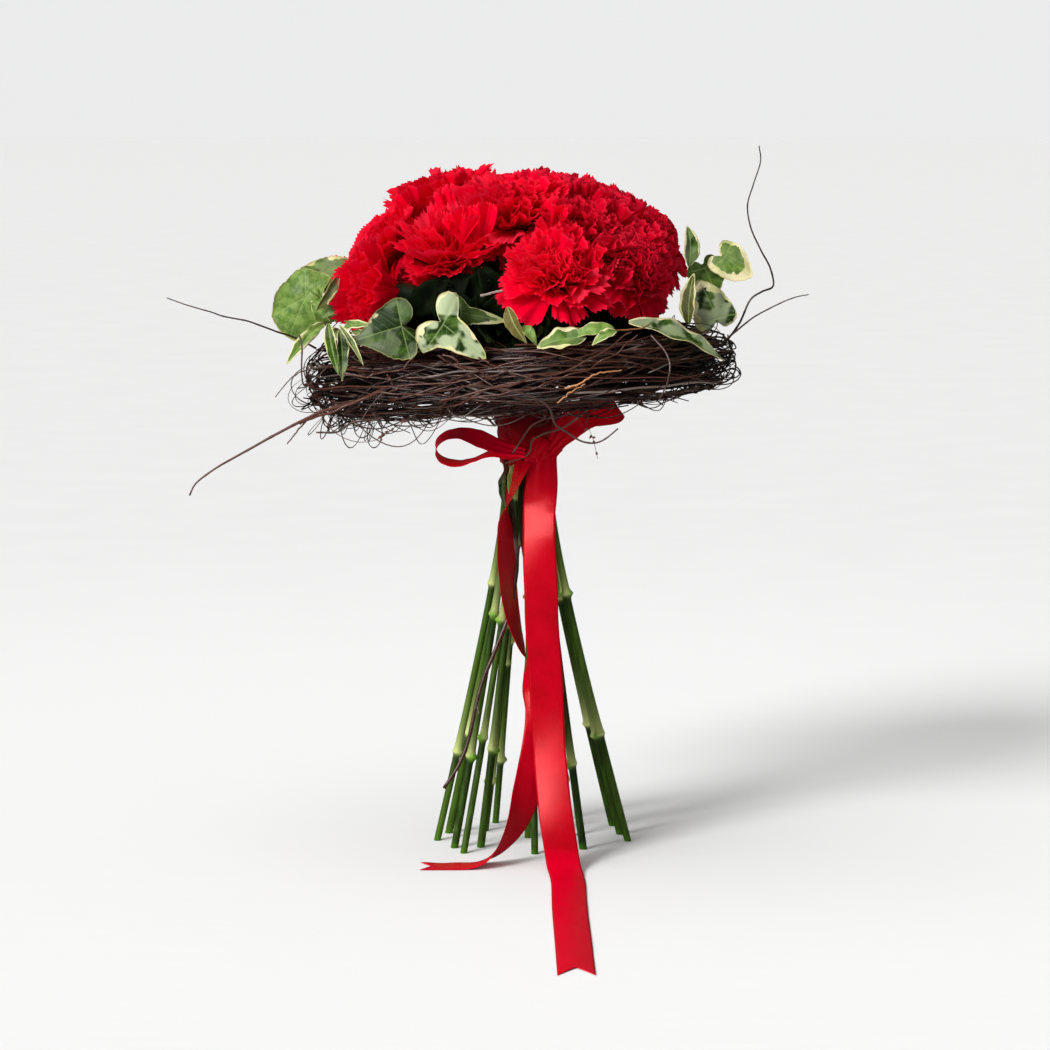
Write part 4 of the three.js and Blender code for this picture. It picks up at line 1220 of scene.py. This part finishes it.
# ---------------------------------------------------------------- satin ribbon
# One length of red satin ribbon, 24 mm wide, wound round the stems under the wreath and tied
# in front in a bow. The long tail runs down and out along the surface, the short one twists
# once and lies off to the left.
RIBBON_WIDTH = 24 * MM
RIBBON_THICKNESS = 0.3 * MM
RIBBON_LOWEST = 0.02 * MM
RIBBON_COLUMNS = 17
RIBBON_CAMBER = 0.5 * MM
RIBBON_RIPPLE = 0.25 * MM
RIBBON_CREASE = 1.7 * MM
NOTCH_FROM = 0.93  # the notch in its end begins at this part of its length
GATHER_REACH = (17, 18)  # how far the gathers at its start and end run, in mm
SURFACE_GLOW = 14 * MM  # up to this height the pale surface lights the ribbon from below

satin = Finish("red_satin", 0.21, 0.7, Specular_Tint=tint(255, 126, 124))
weave = satin.noise(1500.0, 2.0)
satin.colour(satin.coats(
    tint(160, 0, 17),
    (satin.ramp(satin.noise(45.0, 3.0), 0.35, 0.7), tint(176, 0, 24)),
    (satin.attribute("shaded"), tint(56, 0, 7)),
    # Painted light: the bow's left loop and the ribbon just above the surface are painted brighter.
    (satin.attribute("bright"), tint(255, 0, 48)),
    (satin.part(satin.ramp(weave, 0.5, 0.75), 0.25), tint(218, 8, 40)),
    (satin.part(satin.ramp(satin.attribute("hem"), 0.92, 0.96), 0.5), tint(140, 0, 12)),
))
satin.relief(weave, 0.55, 0.0003)


def ribbon(name, stations, rows, notch, pinch, bright, node):
    """A strip of ribbon through stations of (middle in mm, direction of its width).

    notch is how far its end is cut in, in mm, and pinch is how much its width is gathered
    where it enters the knot, at its start and end.
    """
    stops = np.array([place for place, _ in stations], float)
    turns = np.array([width for _, width in stations], float)
    middle = resample(stops * MM, rows)
    even = np.linspace(0, 1, rows)
    marks = run_length(stops)
    across = np.stack([np.interp(even, marks / marks[-1], turns[:, k]) for k in range(3)], axis=1)
    kernel = np.exp(-np.linspace(-2, 2, 2 * (rows // 30) + 1) ** 2)
    kernel /= kernel.sum()
    padded = np.pad(across, ((len(kernel) // 2,) * 2, (0, 0)), mode="edge")
    across = np.stack([np.convolve(padded[:, k], kernel, "valid") for k in range(3)], axis=1)
    middle[:, 2] = np.maximum(middle[:, 2], RIBBON_THICKNESS)
    tangent = np.gradient(middle, axis=0)
    tangent /= np.linalg.norm(tangent, axis=1)[:, None]
    across -= tangent * np.sum(tangent * across, axis=1)[:, None]
    across /= np.linalg.norm(across, axis=1)[:, None]
    normal = np.cross(tangent, across)
    u = np.linspace(-1, 1, RIBBON_COLUMNS)[None, :]
    draw = np.random.default_rng(rows)
    bow = RIBBON_CAMBER * (1 - u ** 2) * np.ones((rows, 1))
    sway = wander(draw, rows, 1, 8)[:, None] * u
    bow = bow + RIBBON_RIPPLE * (sway + wander(draw, rows, 1, 5)[:, None] * (u ** 2 - 0.4))
    run = even * marks[-1]
    gather = pinch[0] * np.exp(-((run / GATHER_REACH[0]) ** 2))
    gather = (gather + pinch[1] * np.exp(-(((marks[-1] - run) / GATHER_REACH[1]) ** 2)))[:, None]
    bow = bow + gather * RIBBON_CREASE * np.sin(9 * u + draw.uniform(0, 6))
    wide = u * (1 - gather) * RIBBON_WIDTH / 2
    front = middle[:, None] + across[:, None] * wide[..., None] + normal[:, None] * bow[..., None]
    fade = np.clip((even[:, None] - NOTCH_FROM) / (1 - NOTCH_FROM), 0, 1)
    front = front + tangent[:, None] * (notch * MM * (np.abs(u) - 1) * fade)[..., None]
    front[..., 2] = np.maximum(front[..., 2], RIBBON_THICKNESS)
    back = front - normal[:, None] * RIBBON_THICKNESS
    back[..., 2] = np.maximum(back[..., 2], RIBBON_LOWEST)
    verts, faces = slab(front, back)
    # Painted light from the pale surface below, on the ribbon low down.
    lit = 0.6 * np.clip(1 - verts[:, 2] / SURFACE_GLOW, 0, 1)
    shape = Shape("hem", "shaded", "bright")
    hem = both_sides(np.abs(u), (rows, RIBBON_COLUMNS))
    shape.add(verts, faces, hem=hem, bright=np.maximum(bright, lit))
    return shape.piece(name, satin, [node]), run_length(middle)[-1]


LEFT_LOOP = [
    ((-2, -37, 287), (0, 0.88, 0.48)), ((-19, -40, 291), (0, 0.86, 0.5)),
    ((-34, -41, 297), (0, 0.9, 0.44)), ((-48, -40, 301), (0, 0.97, 0.24)),
    ((-60, -37, 298), (0, 0.98, 0.2)), ((-66, -34, 290), (0, 0.98, 0.18)),
    ((-62, -33, 282), (0, 0.99, 0.12)), ((-50, -34, 279), (0, 1, 0.08)),
    ((-38, -35, 282), (0, 1, 0.06)), ((-26, -36, 286), (0, 1, 0.1)), ((-6, -36, 284), (0, 1, 0.2)),
]
RIGHT_LOOP = [
    ((15, -37, 287), (-0.45, 0.5, 0.74)), ((23, -39, 298), (-0.4, 0.5, 0.76)),
    ((33, -39, 309), (-0.25, 0.5, 0.83)), ((43, -37, 315.5), (-0.12, 0.5, 0.86)),
    ((52, -33, 317), (-0.12, 0.5, 0.86)), ((60, -26, 318), (-0.2, 0.5, 0.84)),
    ((62, -17, 322), (-0.3, 0.5, 0.8)), ((55, -11, 324), (-0.2, 0.6, 0.78)),
    ((43, -14, 315), (-0.1, 0.75, 0.66)), ((30, -22, 301), (-0.2, 0.7, 0.68)),
    ((20, -30, 290), (-0.3, 0.7, 0.65)),
]
LONG_TAIL = [
    ((11, -36, 286), (1, 0.05, 0)), ((10, -41, 268), (1, 0, 0)), ((9, -43.5, 257), (1, -0.05, 0)),
    ((8.5, -45, 250.5), (1, -0.24, 0.06)), ((8, -48, 243), (1, -0.3, 0.1)),
    ((8, -51, 234.5), (1, -0.3, 0.1)), ((8, -53.8, 225), (1, -0.27, 0.06)),
    ((8.5, -56.6, 208), (1, -0.12, 0)), ((9.5, -58.5, 187), (1, 0, 0)),
    ((10, -59.5, 167), (1, 0.08, 0)), ((13, -63, 125), (1, 0.05, 0)), ((15, -71, 82), (1, -0.28, 0)),
    ((19, -86, 40), (1, -0.2, 0)), ((23, -101, 15), (1, 0, 0)), ((25, -116, 4.5), (1, 0, 0)),
    ((27, -135, 0.9), (1, 0, 0)), ((28, -165, 0.45), (1, 0, 0)), ((28, -240, 0.45), (1, 0, 0)),
    ((29, -330, 0.45), (1, 0, 0)), ((30, -428, 0.45), (1, 0, 0)),
]
SHORT_TAIL = [
    ((-2, -33, 281), (-0.57, 0.82, 0)), ((-7, -35, 273), (-0.57, 0.82, 0)),
    ((-13, -38, 255), (-0.2, 0.98, 0)), ((-16, -40, 238), (0.4, 0.9, 0)),
    ((-15.5, -42, 215), (0.52, 0.85, 0)), ((-14, -42, 192), (0.5, 0.87, 0)),
    ((-10, -42, 168), (0.4, 0.9, 0)), ((-3, -44, 144), (0.1, 1, 0)), ((6, -50, 120), (-0.85, 0.5, 0)),
    ((10, -57, 102), (-0.95, 0.2, 0)), ((7, -66, 76), (-0.97, -0.2, 0)),
    ((-1, -78, 48), (-0.8, -0.6, 0)), ((-9, -89, 27), (-0.6, -0.8, 0)),
    ((-22, -98, 10), (-0.35, -0.93, 0.05)), ((-36, -102, 2), (-0.05, -1, 0)),
    ((-56, -103, 0.45), (0, -1, 0)), ((-76, -103, 0.45), (0, -1, 0)),
]

# Each strip: its stations, rows of its mesh, notch, pinch, how much painted light brightens
# it, and its node.
for name, stations, rows, notch, pinch, bright, node in (
    ("bow_left", LEFT_LOOP, 90, 0, (0.5, 0.3), 1.0, "ribbon_loop_left"),
    ("bow_right", RIGHT_LOOP, 90, 0, (0.55, 0.6), 0.0, "ribbon_loop_right"),
    ("tail_long", LONG_TAIL, 300, 20, (0.18, 0), 0.0, "ribbon_tail_long"),
    ("tail_short", SHORT_TAIL, 220, 8, (0.1, 0), 0.0, "ribbon_tail_short"),
):
    made, length = ribbon(name, stations, rows, notch, pinch, bright, node)

# The wrap: turns of the same ribbon, each a little askew and creased where it overlaps. The
# binding it lies on is waisted: heights and radii in mm.
WRAP_TURNS = 5
WRAP_LOWEST = 288
WRAP_STEP = 6.2
WRAP_HALF_WIDTH = 11.4
WRAP_LAYER = 0.35  # each turn lies this much further out than the one below
WRAP_GRID = (11, 96)
WAIST_HEIGHTS = [270, 288, 300, 312, 322, 334]
WAIST_RADII = [19.2, 18.6, 19.4, 21.8, 25, 29]
rows, ring = WRAP_GRID
angle = np.arange(ring) * 2 * math.pi / ring
u = np.linspace(-1, 1, rows)[:, None]
wrap = Shape("hem", "shaded")
for k in range(WRAP_TURNS):
    draw = np.random.default_rng(700 + k)
    askew = (3 + 2 * k) * np.cos(angle - draw.uniform(0, 6)) * (0.4 if k == 0 else 1)
    height = WRAP_LOWEST + WRAP_STEP * k + askew[None, :] + u * WRAP_HALF_WIDTH
    inside = np.interp(height, WAIST_HEIGHTS, WAIST_RADII)
    folds = 0.8 * np.sin(4 * angle + 3.2 * u + draw.uniform(0, 6)) * np.clip(k, 0, 2) / 2
    folds = folds + 0.3 * np.sin(13 * angle - 5 * u) + 0.5 * np.maximum(0, np.sin(7 * angle + 6 * u)) ** 3
    radius = inside + 1.0 + WRAP_LAYER * k + folds + 0.3 * (1 - u ** 2)
    front = np.stack([radius * np.cos(angle), radius * np.sin(angle), height], axis=-1) * MM
    under = radius - RIBBON_THICKNESS / MM
    inner = np.stack([under * np.cos(angle), under * np.sin(angle), height], axis=-1) * MM
    size = rows * ring
    faces = grid_faces(rows, ring, closed=True)
    faces = faces + [[i + size for i in f[::-1]] for f in faces]
    for row, way in ((0, 1), (rows - 1, -1)):
        for a in range(ring):
            b = (a + 1) % ring
            loop = [row * ring + a, row * ring + a + size, row * ring + b + size, row * ring + b]
            faces.append(loop[::way])
    shaded = both_sides(np.clip((height - 285) / 24, 0, 0.95), WRAP_GRID)
    verts = np.vstack([front.reshape(-1, 3), inner.reshape(-1, 3)])
    wrap.add(verts, faces, hem=both_sides(np.abs(u), WRAP_GRID), shaded=shaded)
wrapped = wrap.piece("wrap", satin, ["ribbon_wrap"])

# The knot: the ribbon pulled tight over itself, its width gathered into deep creases.
KNOT_CENTRE = (10.5, -31.5, 286)
KNOT_HALF = (12.5, 6.0, 11.5)
KNOT_LEAN = math.radians(-24)
KNOT_SQUARENESS = 2.6  # 2 would make its section round
KNOT_GRID = (41, 64)  # across the knot, and round it
columns, rows = KNOT_GRID
around = np.linspace(0, 2 * math.pi, rows, endpoint=False)[:, None]
u = np.linspace(-1, 1, columns)[None, :]
square = np.abs(np.cos(around)) ** KNOT_SQUARENESS + np.abs(np.sin(around)) ** KNOT_SQUARENESS
square = 1 / square ** (1 / KNOT_SQUARENESS)
crease = 0.75 * np.sin(8.5 * u + 0.9 * np.cos(around) + 0.4) + 0.35 * np.sin(17 * u - 1.5 * np.cos(around))
taper = 1 - 0.35 * np.abs(u) ** 5
deep = (KNOT_HALF[1] * taper + crease) * square * np.sin(around)
tall = (KNOT_HALF[2] * taper + 0.5 * crease) * square * np.cos(around)
wide = KNOT_HALF[0] * u * (0.80 + 0.20 * np.abs(np.cos(around)) ** 1.5)
x = KNOT_CENTRE[0] + wide * math.cos(KNOT_LEAN) - tall * math.sin(KNOT_LEAN)
z = KNOT_CENTRE[2] + wide * math.sin(KNOT_LEAN) + tall * math.cos(KNOT_LEAN)
y = KNOT_CENTRE[1] - deep + 0 * x
outer = np.swapaxes(np.stack([x, y, z], axis=-1), 0, 1).reshape(-1, 3) * MM
knot = Shape("hem", "shaded")
knot.add(outer, [f[::-1] for f in grid_faces(*KNOT_GRID, closed=True)])
tied = knot.piece("knot", satin, ["ribbon_knot"])
